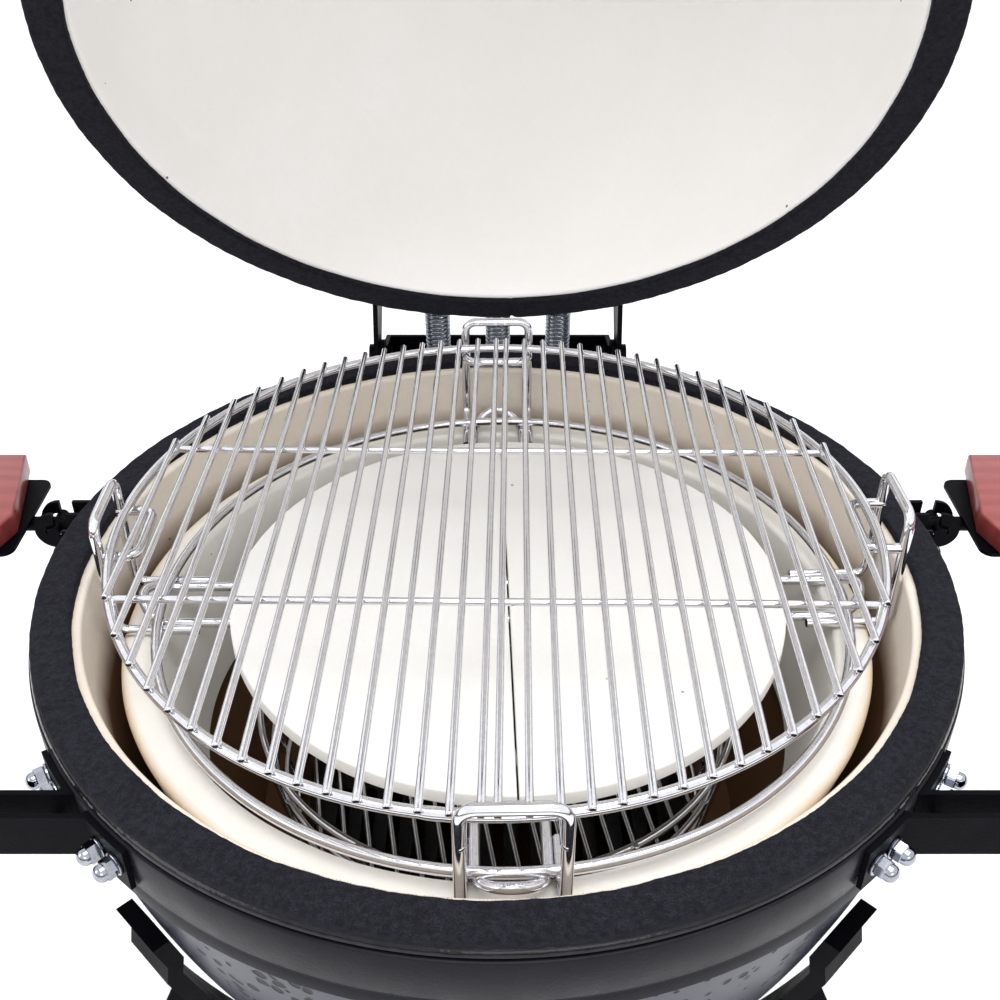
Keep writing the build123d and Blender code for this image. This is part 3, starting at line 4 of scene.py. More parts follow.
import bmesh
import bpy
import numpy as np
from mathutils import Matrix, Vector


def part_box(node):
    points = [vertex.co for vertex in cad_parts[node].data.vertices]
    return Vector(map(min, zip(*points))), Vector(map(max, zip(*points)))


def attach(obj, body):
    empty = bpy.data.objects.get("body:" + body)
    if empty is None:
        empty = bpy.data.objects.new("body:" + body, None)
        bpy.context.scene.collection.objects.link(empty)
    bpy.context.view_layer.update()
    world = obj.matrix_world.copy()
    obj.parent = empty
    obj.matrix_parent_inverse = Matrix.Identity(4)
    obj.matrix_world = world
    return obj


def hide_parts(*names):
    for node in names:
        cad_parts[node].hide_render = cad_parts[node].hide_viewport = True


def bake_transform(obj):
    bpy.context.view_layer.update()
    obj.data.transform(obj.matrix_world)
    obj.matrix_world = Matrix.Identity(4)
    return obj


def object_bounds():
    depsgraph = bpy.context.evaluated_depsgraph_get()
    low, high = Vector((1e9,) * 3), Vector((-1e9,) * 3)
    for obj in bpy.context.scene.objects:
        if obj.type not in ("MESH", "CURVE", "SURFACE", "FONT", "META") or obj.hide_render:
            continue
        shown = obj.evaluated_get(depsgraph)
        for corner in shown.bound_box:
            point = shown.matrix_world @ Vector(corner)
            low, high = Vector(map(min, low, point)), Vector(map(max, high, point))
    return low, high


# A kamado grill's looks. Shapes are worked out in millimetres on the bench frame: its origin is the
# middle of the base gasket's top face, +X right, +Y to the hinge, +Z up. Lid pieces are worked out
# closed and turned open about the hinge.

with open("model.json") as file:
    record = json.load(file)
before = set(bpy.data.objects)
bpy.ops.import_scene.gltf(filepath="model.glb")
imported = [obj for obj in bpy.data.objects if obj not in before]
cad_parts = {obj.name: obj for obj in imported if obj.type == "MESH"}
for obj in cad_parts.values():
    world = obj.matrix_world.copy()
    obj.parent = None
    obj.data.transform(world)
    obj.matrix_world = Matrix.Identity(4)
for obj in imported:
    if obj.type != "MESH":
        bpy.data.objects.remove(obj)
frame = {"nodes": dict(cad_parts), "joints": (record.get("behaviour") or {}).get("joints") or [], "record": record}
cad_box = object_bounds()

MM = 0.001
RUN = 0.3  # gap between the two gaskets when the lid is closed, and between moving pieces
gasket_low, gasket_high = (np.array(corner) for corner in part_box("base_gasket"))
CENTRE = np.array([0.0, (gasket_low[1] + gasket_high[1]) / 2, gasket_high[2] + RUN * MM])
HINGE = next(joint for joint in frame["joints"] if joint["name"] == "lid_hinge")
HINGE_AT = (np.array(HINGE["pos_m"]) - CENTRE) / MM
LID_OPEN = math.radians(HINGE["range_deg"][1])

# ---- sizes in millimetres, as in the part ----
RIM_R = 278.0
WALL = 28.0
BASE_DEPTH = 366.0
FOOT_R = 150.0
BODY_BULGE = 14.0
SWELL = 3.8
SWELL_SPAN = 215.0
SHOULDER = 48.0
FELT_T = 6.0
FELT_W = 23.0
TOUCH = 0.03
BAND_T = 3.0
BAND_H = 40.0
BAND_DROP = 6.0
CLAMP_GAP = 10.0
CLAMP_EAR = 22.0
LID_WALL = 22.0
LID_RISE = 190.0
LID_NECK_R = 66.0
VENT_R = 46.0
BOSS_OUT = 1.9
BOSS_HALF = 40.0
BOSS_LOW = -345.0
DRAFT_HIGH = -281.0
WINDOW_HALF = 10.0
WINDOW_Z = (-331.5, -289.5)
FIRE_RING_TOP = -43.0
FIRE_RING_H = 88.0
FIRE_RING_WALL = 23.0
RACK_WIRE = 3.2
RACK_R = 240.5
RACK_SHIFT = 3.8
RACK_HANDLE_W = 49.0
RACK_HANDLE_TOP = 41.0
RACK_RING_R = 216.0
DEFLECTOR_R = 174.0
DEFLECTOR_T = 10.0
DEFLECTOR_SEAM = 1.2
PLATE_SHIFT = 6.8
PLATE_TURN = 1.5
RACK_TURN = 1.0
LOOP_RISE = 10.0
GRATE_TURN = -0.7
GRILL_R = 230.0
GRILL_RING_WIRE = 3.0
GRILL_BAR = 2.05
GRILL_BARS = 16
GRILL_MIDDLE = 7.6
GRILL_PITCH = 14.15
GRILL_CROSS_Y = 79.0
GRILL_Z = 24.0
GRATE_LEVEL = -206.3
BASKET_R = 158.0
BASKET_H = 92.0
BASKET_WIRE = 2.5
BASKET_BAR = 2.0
BASKET_TAPER = 16.0
BASKET_PITCH = 16.0
BASKET_TURN = math.radians(10.0)
SPRING_SPACING = 52.0
SPRING_R = 9.5
SPRING_WIRE = 1.45
SPRING_PITCH = 4.1
SPRING_ROD_R = 4.0
SPRING_LOW = np.array([348.0, -80.0])
SPRING_HIGH = np.array([336.0, 18.0])
ROD_Z = -27.0
SHELF_Y = -61.0
ROD_Y = 129.0
BRACKET_GAP = 12.0
BRACKET_T = 3.0
HANDLE_X = 112.0
HANDLE_REACH = 52.0
SLAT_W = 115.0
SLAT_STEP = 124.5
SLAT_T = 16.0
SLAT_END = 622.0

RIM_Z = -FELT_T
SIDE_R = RIM_R - 1.0
INNER_R = RIM_R - WALL
BODY_TOP_Z = RIM_Z - SHOULDER
BODY_TOP_R = SIDE_R - 3.0
BASE_BOTTOM = RIM_Z - BASE_DEPTH
BASE_FLOOR = BASE_BOTTOM + WALL
BAND_R = SIDE_R + 0.3
BAND_OUT = BAND_R + BAND_T
BAND_TOP = RIM_Z - BAND_DROP
LID_LOW = FELT_T + RUN
LID_SPRING = LID_LOW + SHOULDER
LID_TOP = LID_SPRING + LID_RISE
LID_INNER_R = SIDE_R - 2 - LID_WALL

# The side of the base is one arc in the (radius, height) plane.
CHORD = math.hypot(BODY_TOP_R - FOOT_R, BODY_TOP_Z - BASE_BOTTOM)
SIDE_ARC_R = (CHORD**2 / 4 + BODY_BULGE**2) / (2 * BODY_BULGE)
LEAN = ((BODY_TOP_Z - BASE_BOTTOM) / CHORD, (BODY_TOP_R - FOOT_R) / CHORD)
ARC_X = (BODY_TOP_R + FOOT_R) / 2 - (SIDE_ARC_R - BODY_BULGE) * LEAN[0]
ARC_Z = (BODY_TOP_Z + BASE_BOTTOM) / 2 + (SIDE_ARC_R - BODY_BULGE) * LEAN[1]


def body_r(z, inset=0.0):
    """Radius of the base's side at height z: the side arc's centre plus its half chord there."""
    return ARC_X + np.sqrt((SIDE_ARC_R - inset) ** 2 - (z - ARC_Z) ** 2)


BOSS_R = float(body_r(DRAFT_HIGH)) + BOSS_OUT

# ---- placing ----
def bench(points):
    """Millimetres on the bench frame to metres in the row frame."""
    return CENTRE + np.asarray(points, float) * MM


def opened(points):
    """A closed lid's points turned open about the hinge, then placed like any other."""
    points = np.array(points, float)
    y, z = points[..., 1] - HINGE_AT[1], points[..., 2] - HINGE_AT[2]
    c, s = math.cos(LID_OPEN), math.sin(LID_OPEN)
    points[..., 1] = HINGE_AT[1] + y * c + z * s
    points[..., 2] = HINGE_AT[2] - y * s + z * c
    return bench(points)


# ---- surfaces on a grid ----
def grid(points, wrap_u=False, wrap_v=False, keep=None):
    """Corners and four-sided faces of a grid of points, (u, v, 3). A wrapped side joins its start."""
    nu, nv = points.shape[:2]
    u = np.arange(nu if wrap_u else nu - 1)
    v = np.arange(nv if wrap_v else nv - 1)
    a, b = np.meshgrid(u, v, indexing="ij")
    a2, b2 = (a + 1) % nu, (b + 1) % nv
    faces = np.stack([a * nv + b, a2 * nv + b, a2 * nv + b2, a * nv + b2], -1)
    if keep is not None:
        faces = faces[keep]
    return points.reshape(-1, 3), faces.reshape(-1, 4)


def revolve(profile, steps=256, start=0.0, sweep=360.0, wrap_profile=False):
    """Each (radius, height) of a profile carried round Z: x = r cos a, y = r sin a."""
    profile = np.asarray(profile, float)
    whole = sweep == 360.0
    angle = np.radians(start + np.linspace(0, sweep, steps, endpoint=not whole))
    r, z = profile[:, 0][:, None], profile[:, 1][:, None]
    points = np.stack([r * np.cos(angle), r * np.sin(angle), z + 0 * angle], -1)
    return grid(points, wrap_u=wrap_profile, wrap_v=whole)


def unit(vectors):
    return vectors / np.linalg.norm(vectors, axis=-1, keepdims=True)


def tube(path, radius, up=(0, 0, 1), sides=12, closed=False):
    """A circle carried along a path that is never in line with up. Open ends are closed by a point."""
    path = np.asarray(path, float)
    if closed:
        along = np.roll(path, -1, 0) - np.roll(path, 1, 0)
    else:
        along = np.gradient(path, axis=0)
    side = unit(np.cross(np.broadcast_to(up, path.shape), unit(along)))
    top = unit(np.cross(unit(along), side))
    angle = np.linspace(0, 2 * math.pi, sides, endpoint=False)[None, :, None]
    radius = np.broadcast_to(radius, len(path))[:, None, None]
    rings = path[:, None] + radius * (np.cos(angle) * side[:, None] + np.sin(angle) * top[:, None])
    if not closed:
        first = np.repeat(path[:1, None], sides, 1)
        last = np.repeat(path[-1:, None], sides, 1)
        rings = np.concatenate([first, rings, last])
    return grid(rings, wrap_u=closed, wrap_v=True)


def bent_wire(path, radius, sides=12):
    """A tube along a path that turns in more than one plane: its side direction is carried along
    from point to point, so that it never twists."""
    path = np.asarray(path, float)
    along = unit(np.gradient(path, axis=0))
    side = np.zeros_like(path)
    helper = np.array([0, 0, 1.0]) if abs(along[0][2]) < 0.9 else np.array([1.0, 0, 0])
    side[0] = unit(np.cross(helper, along[0]))
    for i in range(1, len(path)):
        side[i] = unit(side[i - 1] - along[i] * np.dot(side[i - 1], along[i]))
    top = np.cross(along, side)
    angle = np.linspace(0, 2 * math.pi, sides, endpoint=False)[None, :, None]
    rings = path[:, None] + radius * (np.cos(angle) * side[:, None] + np.sin(angle) * top[:, None])
    first, last = np.repeat(path[:1, None], sides, 1), np.repeat(path[-1:, None], sides, 1)
    return grid(np.concatenate([first, rings, last]), wrap_v=True)


def turned(start, end, stations, radii, sides=16):
    """A solid turned on a lathe between two points: radii at distances (stations) along the axis."""
    start, end = np.array(start, float), np.array(end, float)
    way = unit(end - start)
    helper = np.array([0, 0, 1.0]) if abs(way[2]) < 0.9 else np.array([1.0, 0, 0])
    side = unit(np.cross(helper, way))
    top = np.cross(way, side)
    angle = np.linspace(0, 2 * math.pi, sides, endpoint=False)[None, :, None]
    s = np.asarray(stations, float)[:, None, None]
    r = np.asarray(radii, float)[:, None, None]
    return grid(start + s * way + r * (np.cos(angle) * side + np.sin(angle) * top), wrap_v=True)


def bar(start, end, radius, nose=0.8, sides=12):
    """A straight round bar whose end edges are rounded by a quarter circle of radius nose."""
    length = np.linalg.norm(np.array(end, float) - np.array(start, float))
    a = np.linspace(0, math.pi / 2, 4)
    s, r = nose * (1 - np.cos(a)), radius - nose + nose * np.sin(a)
    s = np.concatenate([[0], s, length - s[::-1], [length]])
    return turned(start, end, s, np.concatenate([[0], r, r[::-1], [0]]), sides)


def blob(centre, size, sides=8, rows=5):
    """A bead of weld: a sphere stretched to three half sizes."""
    polar = np.linspace(0, math.pi, rows)[:, None]
    about = np.linspace(0, 2 * math.pi, sides, endpoint=False)[None, :]
    wide = np.sin(polar)
    ball = np.stack([wide * np.cos(about), wide * np.sin(about), np.cos(polar) + 0 * about], -1)
    return grid(np.asarray(centre, float) + ball * np.asarray(size, float), wrap_v=True)


def bent(corners, radius, steps=6, closed=False):
    """A path through corners, each rounded by an arc of this radius that touches both its runs."""
    corners = [np.array(c, float) for c in corners]
    count = len(corners)
    path = [] if closed else [corners[0]]
    for i in range(count if closed else count - 2):
        a, b, c = corners[i], corners[(i + 1) % count], corners[(i + 2) % count]
        u, v = unit(a - b), unit(c - b)
        half = math.acos(np.clip(np.dot(u, v), -1, 1)) / 2
        middle = b + unit(u + v) * radius / math.sin(half)
        first, last = b + u * radius / math.tan(half) - middle, b + v * radius / math.tan(half) - middle
        turn = math.pi - 2 * half
        for t in np.linspace(0, 1, steps):
            reach = math.sin((1 - t) * turn) * first + math.sin(t * turn) * last
            path.append(middle + reach / math.sin(turn))
    if not closed:
        path.append(corners[-1])
    return np.array(path)


def plate(outline, low, high, edge, steps=4, rows=6):
    """A flat convex board: rings of its outline shrink to the middle on both faces, and quarter
    circles of radius edge join the faces to the side."""
    outline = np.asarray(outline, float)
    following, before = np.roll(outline, -1, 0) - outline, outline - np.roll(outline, 1, 0)
    n1 = unit(np.stack([following[:, 1], -following[:, 0]], -1))
    n2 = unit(np.stack([before[:, 1], -before[:, 0]], -1))
    out = unit(n1 + n2) / np.clip(np.sum(unit(n1 + n2) * n1, -1, keepdims=True), 0.5, 1)
    middle = outline.mean(0)
    rings = []

    def ring(flat, z):
        rings.append(np.concatenate([flat, np.full((len(flat), 1), z)], 1))

    face = outline - out * edge
    shares = np.linspace(0, 1, rows)
    for share in shares:
        ring(middle + (face - middle) * share, high)
    for a in np.linspace(0, math.pi / 2, steps)[1:]:
        ring(outline - out * edge * (1 - math.sin(a)), high - edge * (1 - math.cos(a)))
    for a in np.linspace(math.pi / 2, 0, steps):
        ring(outline - out * edge * (1 - math.sin(a)), low + edge * (1 - math.cos(a)))
    for share in shares[::-1][1:]:
        ring(middle + (face - middle) * share, low)
    return grid(np.array(rings), wrap_v=True)


def needles(roots, ways, width, seed):
    """Hair: each is a three-sided spike from a root along its way, slimmer than width at the root."""
    rng = np.random.default_rng(seed)
    side = unit(np.cross(ways, rng.normal(size=ways.shape)))
    top = unit(np.cross(ways, side))
    angle = np.linspace(0, 2 * math.pi, 3, endpoint=False)[None, :, None]
    foot = roots[:, None] + width / 2 * (np.cos(angle) * side[:, None] + np.sin(angle) * top[:, None])
    tip = np.repeat((roots + ways)[:, None], 3, 1)
    corners = np.stack([foot, tip], 1).reshape(-1, 3)
    start = 6 * np.arange(len(roots))[:, None, None]
    k = np.arange(3)[None, :, None]
    faces = start + np.concatenate([k, (k + 1) % 3, 3 + (k + 1) % 3, 3 + k], -1)
    return corners, faces.reshape(-1, 4)


def wander(angle, seed, waves, strength=1.0):
    """A closed wavy line: a sum of sines with whole numbers of waves and random phases."""
    rng = np.random.default_rng(seed)
    waves = np.asarray(waves)
    size = strength / np.sqrt(len(waves))
    phase = rng.uniform(0, 2 * math.pi, len(waves))
    return (np.sin(np.asarray(angle)[..., None] * waves + phase) * size).sum(-1)


def piece(name, parts, finish, body=None, stands_for=(), turn=bench, sharp=40):
    """Makes one object from grids. parts are grids, or (grid, index) for another finish of the list."""
    corners, faces, which, start = [], [], [], 0
    for part in parts:
        (points, quads), index = part if isinstance(part[0], tuple) else (part, 0)
        corners.append(points)
        faces.append(quads + start)
        which.append(np.full(len(quads), index))
        start += len(points)
    mesh = bpy.data.meshes.new(name)
    mesh.from_pydata(turn(np.concatenate(corners)).tolist(), [], np.concatenate(faces).tolist())
    mesh.polygons.foreach_set("material_index", np.concatenate(which).astype(np.int32))
    work = bmesh.new()
    work.from_mesh(mesh)
    bmesh.ops.remove_doubles(work, verts=work.verts, dist=2e-6)
    bmesh.ops.recalc_face_normals(work, faces=work.faces)
    work.to_mesh(mesh)
    work.free()
    mesh.shade_smooth()
    mesh.set_sharp_from_angle(angle=math.radians(sharp))
    for material in finish if isinstance(finish, (list, tuple)) else [finish]:
        mesh.materials.append(material)
    made = bpy.data.objects.new(name, mesh)
    bpy.context.scene.collection.objects.link(made)
    if body:
        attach(made, body)
    if stands_for:
        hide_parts(*stands_for)
    return made


# ---- shader groups ----
def shader_group(name, inputs, outputs):
    tree = bpy.data.node_groups.new(name, "ShaderNodeTree")
    for label, kind, value in inputs:
        socket = tree.interface.new_socket(label, in_out="INPUT", socket_type=kind)
        if value is not None:
            socket.default_value = value
    for label, kind in outputs:
        tree.interface.new_socket(label, in_out="OUTPUT", socket_type=kind)
    return tree, tree.nodes.new("NodeGroupInput"), tree.nodes.new("NodeGroupOutput")


def node(tree, kind, settings=None, **sockets):
    """Adds a shader node. settings are its own properties; sockets are numbers, or outputs to link from.
    A socket that has no name of its own is given as i and its number."""
    made = tree.nodes.new("ShaderNode" + kind)
    for key, value in (settings or {}).items():
        setattr(made, key, value)
    for key, value in sockets.items():
        label = key.replace("_", " ")
        socket = made.inputs[int(key[1:])] if key[0] == "i" and key[1:].isdigit() else made.inputs[label]
        if isinstance(value, bpy.types.NodeSocket):
            tree.links.new(value, socket)
        else:
            socket.default_value = value
    return made


def relief_group():
    """Height noise of one grain size turned into a normal, on top of another normal."""
    tree, came, out = shader_group(
        "fine_relief",
        [("Vector", "NodeSocketVector", None), ("Scale", "NodeSocketFloat", 400.0),
         ("Depth", "NodeSocketFloat", 0.0002), ("Detail", "NodeSocketFloat", 3.0)],
        [("Normal", "NodeSocketVector"), ("Height", "NodeSocketFloat")],
    )
    noise = node(tree, "TexNoise", Vector=came.outputs["Vector"], Scale=came.outputs["Scale"],
                 Detail=came.outputs["Detail"], Roughness=0.55)
    bump = node(tree, "Bump", Height=noise.outputs["Fac"], Distance=came.outputs["Depth"],
                Strength=1.0)
    tree.links.new(bump.outputs["Normal"], out.inputs["Normal"])
    tree.links.new(noise.outputs["Fac"], out.inputs["Height"])
    return tree


def mottle_group():
    """Two colours mixed by soft clouds of one size."""
    tree, came, out = shader_group(
        "mottle",
        [("Vector", "NodeSocketVector", None), ("Scale", "NodeSocketFloat", 30.0),
         ("From", "NodeSocketFloat", 0.4), ("To", "NodeSocketFloat", 0.6),
         ("A", "NodeSocketColor", (0, 0, 0, 1)), ("B", "NodeSocketColor", (1, 1, 1, 1))],
        [("Color", "NodeSocketColor"), ("Mask", "NodeSocketFloat")],
    )
    noise = node(tree, "TexNoise", Vector=came.outputs["Vector"], Scale=came.outputs["Scale"],
                 Detail=4.0, Roughness=0.6)
    ramp = node(tree, "MapRange", {"clamp": True}, Value=noise.outputs["Fac"],
                From_Min=came.outputs["From"], From_Max=came.outputs["To"])
    mix = node(tree, "Mix", {"data_type": "RGBA"}, Factor=ramp.outputs["Result"],
               i6=came.outputs["A"], i7=came.outputs["B"])
    tree.links.new(mix.outputs[2], out.inputs["Color"])
    tree.links.new(ramp.outputs["Result"], out.inputs["Mask"])
    return tree


def speck_group():
    """Scattered small dots: 1 inside a dot. Only a share of the cells of a point pattern has one."""
    tree, came, out = shader_group(
        "specks",
        [("Vector", "NodeSocketVector", None), ("Scale", "NodeSocketFloat", 120.0),
         ("Size", "NodeSocketFloat", 0.12), ("Share", "NodeSocketFloat", 0.2)],
        [("Mask", "NodeSocketFloat")],
    )
    cells = node(tree, "TexVoronoi", Vector=came.outputs["Vector"], Scale=came.outputs["Scale"])
    split = node(tree, "SeparateColor", Color=cells.outputs["Color"])

    def reckon(operation, a, b):
        return node(tree, "Math", {"operation": operation}, i0=a, i1=b).outputs[0]

    chosen = reckon("LESS_THAN", split.outputs[0], came.outputs["Share"])
    size = reckon("MULTIPLY", split.outputs[1], came.outputs["Size"])
    near = reckon("LESS_THAN", cells.outputs["Distance"], size)
    tree.links.new(reckon("MULTIPLY", chosen, near), out.inputs["Mask"])
    return tree


RELIEF = relief_group()
MOTTLE = mottle_group()
SPECKS = speck_group()


class Finish:
    """A material under construction: its node tree, its Principled shader and Object coordinates."""

    def __init__(self, name, **values):
        self.material = bpy.data.materials.new(name)
        self.material.use_nodes = True
        self.tree = self.material.node_tree
        self.shader = self.tree.nodes["Principled BSDF"]
        self.place = node(self.tree, "TexCoord").outputs["Object"]
        for key, value in values.items():
            self.shader.inputs[key.replace("_", " ")].default_value = value

    def add(self, kind, settings=None, **sockets):
        return node(self.tree, kind, settings, **sockets)

    def use(self, group, **sockets):
        made = self.tree.nodes.new("ShaderNodeGroup")
        made.node_tree = group
        sockets.setdefault("Vector", self.place)
        for key, value in sockets.items():
            if isinstance(value, bpy.types.NodeSocket):
                self.tree.links.new(value, made.inputs[key])
            else:
                made.inputs[key].default_value = value
        return made

    def mix(self, mask, a, b):
        """Colour a where the mask is 0, b where it is 1."""
        return self.add("Mix", {"data_type": "RGBA"}, Factor=mask, i6=a, i7=b).outputs[2]

    def spread(self, value, low, high, out_low, out_high):
        """Rescales a value from one range to another, held within it."""
        return self.add("MapRange", {"clamp": True}, Value=value, From_Min=low, From_Max=high,
                        To_Min=out_low, To_Max=out_high).outputs["Result"]

    def math(self, operation, a, b=0.0):
        return self.add("Math", {"operation": operation}, i0=a, i1=b).outputs[0]

    def turned(self, location=(0, 0, 0), rotation=(0, 0, 0), scale=(1, 1, 1)):
        """Object coordinates, scaled, turned and then moved."""
        return self.add("Mapping", Vector=self.place, Location=location, Rotation=rotation,
                        Scale=scale).outputs["Vector"]

    def link(self, output, name):
        self.tree.links.new(output, self.shader.inputs[name])
        return self


def rgb(r, g, b):
    """A colour given in the 0 to 255 screen scale, made linear."""
    def linear(c):
        c /= 255
        return c / 12.92 if c <= 0.04045 else ((c + 0.055) / 1.055) ** 2.4
    return (linear(r), linear(g), linear(b), 1.0)


# ---- finishes ----
def make_glaze():
    """Blue-grey glaze with black pits: hollows of uneven size, about 8 mm apart, and a fine ripple."""
    f = Finish("black_glaze", Roughness=0.3, IOR=1.5, Specular_IOR_Level=0.32)
    warp = f.add("TexNoise", Vector=f.place, Scale=60.0, Detail=2.0)
    bent_place = f.add("VectorMath", {"operation": "MULTIPLY_ADD"}, i0=warp.outputs["Color"],
                       i1=(0.006, 0.006, 0.003), i2=f.place)
    cells = f.add("TexVoronoi", {"feature": "SMOOTH_F1"}, Vector=bent_place.outputs[0],
                  Scale=118.0, Smoothness=0.2)
    chance = f.add("SeparateColor", Color=cells.outputs["Color"]).outputs[0]
    reach = f.spread(chance, 0.1, 0.9, 0.02, 0.44)
    pits = f.spread(f.math("SUBTRACT", cells.outputs["Distance"], reach), -0.07, 0.07, 0.0, 1.0)
    ripple = f.add("TexNoise", Vector=f.place, Scale=900.0, Detail=2.0)
    height = f.math("MULTIPLY_ADD", ripple.outputs["Fac"], 0.03)
    f.tree.links.new(pits, height.node.inputs[2])
    bump = f.add("Bump", Height=height, Distance=0.0011, Strength=1.0)
    f.link(bump.outputs["Normal"], "Normal")
    f.link(f.mix(pits, rgb(5, 5, 8), rgb(46, 48, 63)), "Base Color")
    f.link(f.spread(pits, 0, 1, 0.5, 0.3), "Roughness")
    return f.material


def make_smooth_glaze():
    """The same black glaze where it is smooth: the rim bead."""
    f = Finish("rim_glaze", Roughness=0.12, IOR=1.5, Specular_IOR_Level=0.3)
    cloud = f.use(MOTTLE, Scale=90.0, A=rgb(12, 12, 15), B=rgb(24, 24, 30))
    f.link(cloud.outputs["Color"], "Base Color")
    f.link(f.use(RELIEF, Scale=160.0, Depth=0.0004, Detail=2.0).outputs["Normal"], "Normal")
    return f.material


def make_ceramic(name, light, dark, speck, speck_share, roughness=0.75):
    """Unglazed ceramic: soft clouds of tone, small dark specks and a sandy surface."""
    f = Finish(name, Roughness=roughness, IOR=1.45)
    tone = f.use(MOTTLE, Scale=9.0, From=0.35, To=0.7, A=dark, B=light).outputs["Color"]
    fine = f.use(MOTTLE, Scale=260.0, From=0.3, To=0.75, A=dark, B=light).outputs["Color"]
    both = f.mix(0.35, tone, fine)
    dots = f.use(SPECKS, Scale=95.0, Size=0.11, Share=speck_share).outputs["Mask"]
    f.link(f.mix(dots, both, speck), "Base Color")
    f.link(f.use(RELIEF, Scale=700.0, Depth=0.00025).outputs["Normal"], "Normal")
    return f


def make_base_ceramic():
    """Cream ceramic, turning dark brown from a little above the fire ring's top downwards, where the wall goes
    down behind the fire ring.
    """
    f = make_ceramic("base_ceramic", rgb(236, 227, 214), rgb(222, 211, 196), rgb(140, 120, 100), 0.05)
    split = f.add("SeparateXYZ", Vector=f.turned(location=tuple(-CENTRE)))
    cloud = f.add("TexNoise", Vector=f.place, Scale=26.0, Detail=4.0).outputs["Fac"]
    height = f.math("MULTIPLY_ADD", cloud, 0.012)
    f.tree.links.new(split.outputs[2], height.node.inputs[2])
    # Dark brown mixed in by height alone, from about 32 mm to 56 mm below the gasket's top, with a cloudy edge.
    brown_below_ring = f.spread(height, -0.032, -0.056, 0.0, 1.0)
    base = f.shader.inputs["Base Color"].links[0].from_socket
    f.link(f.mix(brown_below_ring, base, rgb(92, 62, 34)), "Base Color")
    return f.material


def make_fire_ceramic():
    """Fire clay, white on top, with a scorched yellow-brown outer edge that fades in uneven tongues."""
    f = make_ceramic("fire_clay", rgb(252, 250, 245), rgb(245, 241, 232), rgb(150, 140, 125), 0.05)
    centred = f.turned(location=tuple(-CENTRE))
    split = f.add("SeparateXYZ", Vector=centred)
    flat = f.add("CombineXYZ", X=split.outputs[0], Y=split.outputs[1])
    radius = f.add("VectorMath", {"operation": "LENGTH"}, i0=flat.outputs[0]).outputs["Value"]
    cloud = f.add("TexNoise", Vector=f.place, Scale=22.0, Detail=4.0).outputs["Fac"]
    moved = f.math("ADD", f.math("MULTIPLY", cloud, 0.004), radius)
    stain = f.spread(moved, 0.2305, 0.2375, 0.0, 1.0)
    base = f.shader.inputs["Base Color"].links[0].from_socket
    f.link(f.mix(f.math("MULTIPLY", stain, 0.75), base, rgb(214, 176, 118)), "Base Color")
    return f.material


def make_felt():
    """Charcoal-black pressed felt: matted fibres, painted shade darkening the hollows between tufts, and a few
    pale threads of lint.
    """
    f = Finish("felt", Roughness=1.0, Sheen_Weight=0.09, Sheen_Roughness=0.5, Specular_IOR_Level=0.15)
    f.shader.inputs["Sheen Tint"].default_value = rgb(120, 122, 135)
    fibre = f.add("TexNoise", {"noise_dimensions": "3D"}, Vector=f.turned(scale=(1, 1, 3)),
                  Scale=1500.0, Detail=3.0, Distortion=1.2)
    tufts = f.add("TexNoise", Vector=f.place, Scale=320.0, Detail=3.0)
    tone = f.mix(f.spread(fibre.outputs["Fac"], 0.35, 0.7, 0, 1), rgb(17, 17, 21), rgb(44, 44, 54))
    # Painted shade: where the tufts noise is low, in the hollows of the bump below, the felt is darkened towards
    # near-black.
    tone = f.mix(f.spread(tufts.outputs["Fac"], 0.62, 0.35, 0, 0.6), tone, rgb(10, 10, 13))
    lint = f.use(SPECKS, Scale=75.0, Size=0.07, Share=0.09).outputs["Mask"]
    f.link(f.mix(lint, tone, rgb(205, 208, 215)), "Base Color")
    height = f.math("ADD", fibre.outputs["Fac"], f.math("MULTIPLY", tufts.outputs["Fac"], 1.6))
    f.link(f.add("Bump", Height=height, Distance=0.0004, Strength=0.8).outputs["Normal"], "Normal")
    return f.material


def make_paint(name, colour, worn, roughness, grain=500.0, depth=0.00008, shine=0.5):
    """Baked paint on steel: slight orange peel, uneven sheen and a faint dusty bloom."""
    f = Finish(name, Roughness=roughness, IOR=1.5, Specular_IOR_Level=shine)
    f.link(f.use(MOTTLE, Scale=40.0, From=0.3, To=0.8, A=colour, B=worn).outputs["Color"], "Base Color")
    f.link(f.use(RELIEF, Scale=grain, Depth=depth, Detail=1.0).outputs["Normal"], "Normal")
    sheen = f.add("TexNoise", Vector=f.place, Scale=55.0, Detail=3.0).outputs["Fac"]
    f.link(f.spread(sheen, 0.3, 0.7, roughness - 0.05, roughness + 0.07), "Roughness")
    return f.material


def make_metal(name, bright, dull, roughness, streak=(1, 1, 1), grain=250.0):
    """Bare metal: a drawn or plated surface whose tone and roughness vary in streaks."""
    f = Finish(name, Metallic=1.0, Roughness=roughness)
    place = f.turned(scale=streak)
    tone = f.use(MOTTLE, Vector=place, Scale=grain, From=0.3, To=0.7, A=dull, B=bright)
    f.link(tone.outputs["Color"], "Base Color")
    f.link(f.spread(tone.outputs["Mask"], 0, 1, roughness + 0.06, roughness - 0.03), "Roughness")
    f.link(f.use(RELIEF, Vector=place, Scale=grain * 3, Depth=0.000006).outputs["Normal"], "Normal")
    return f.material


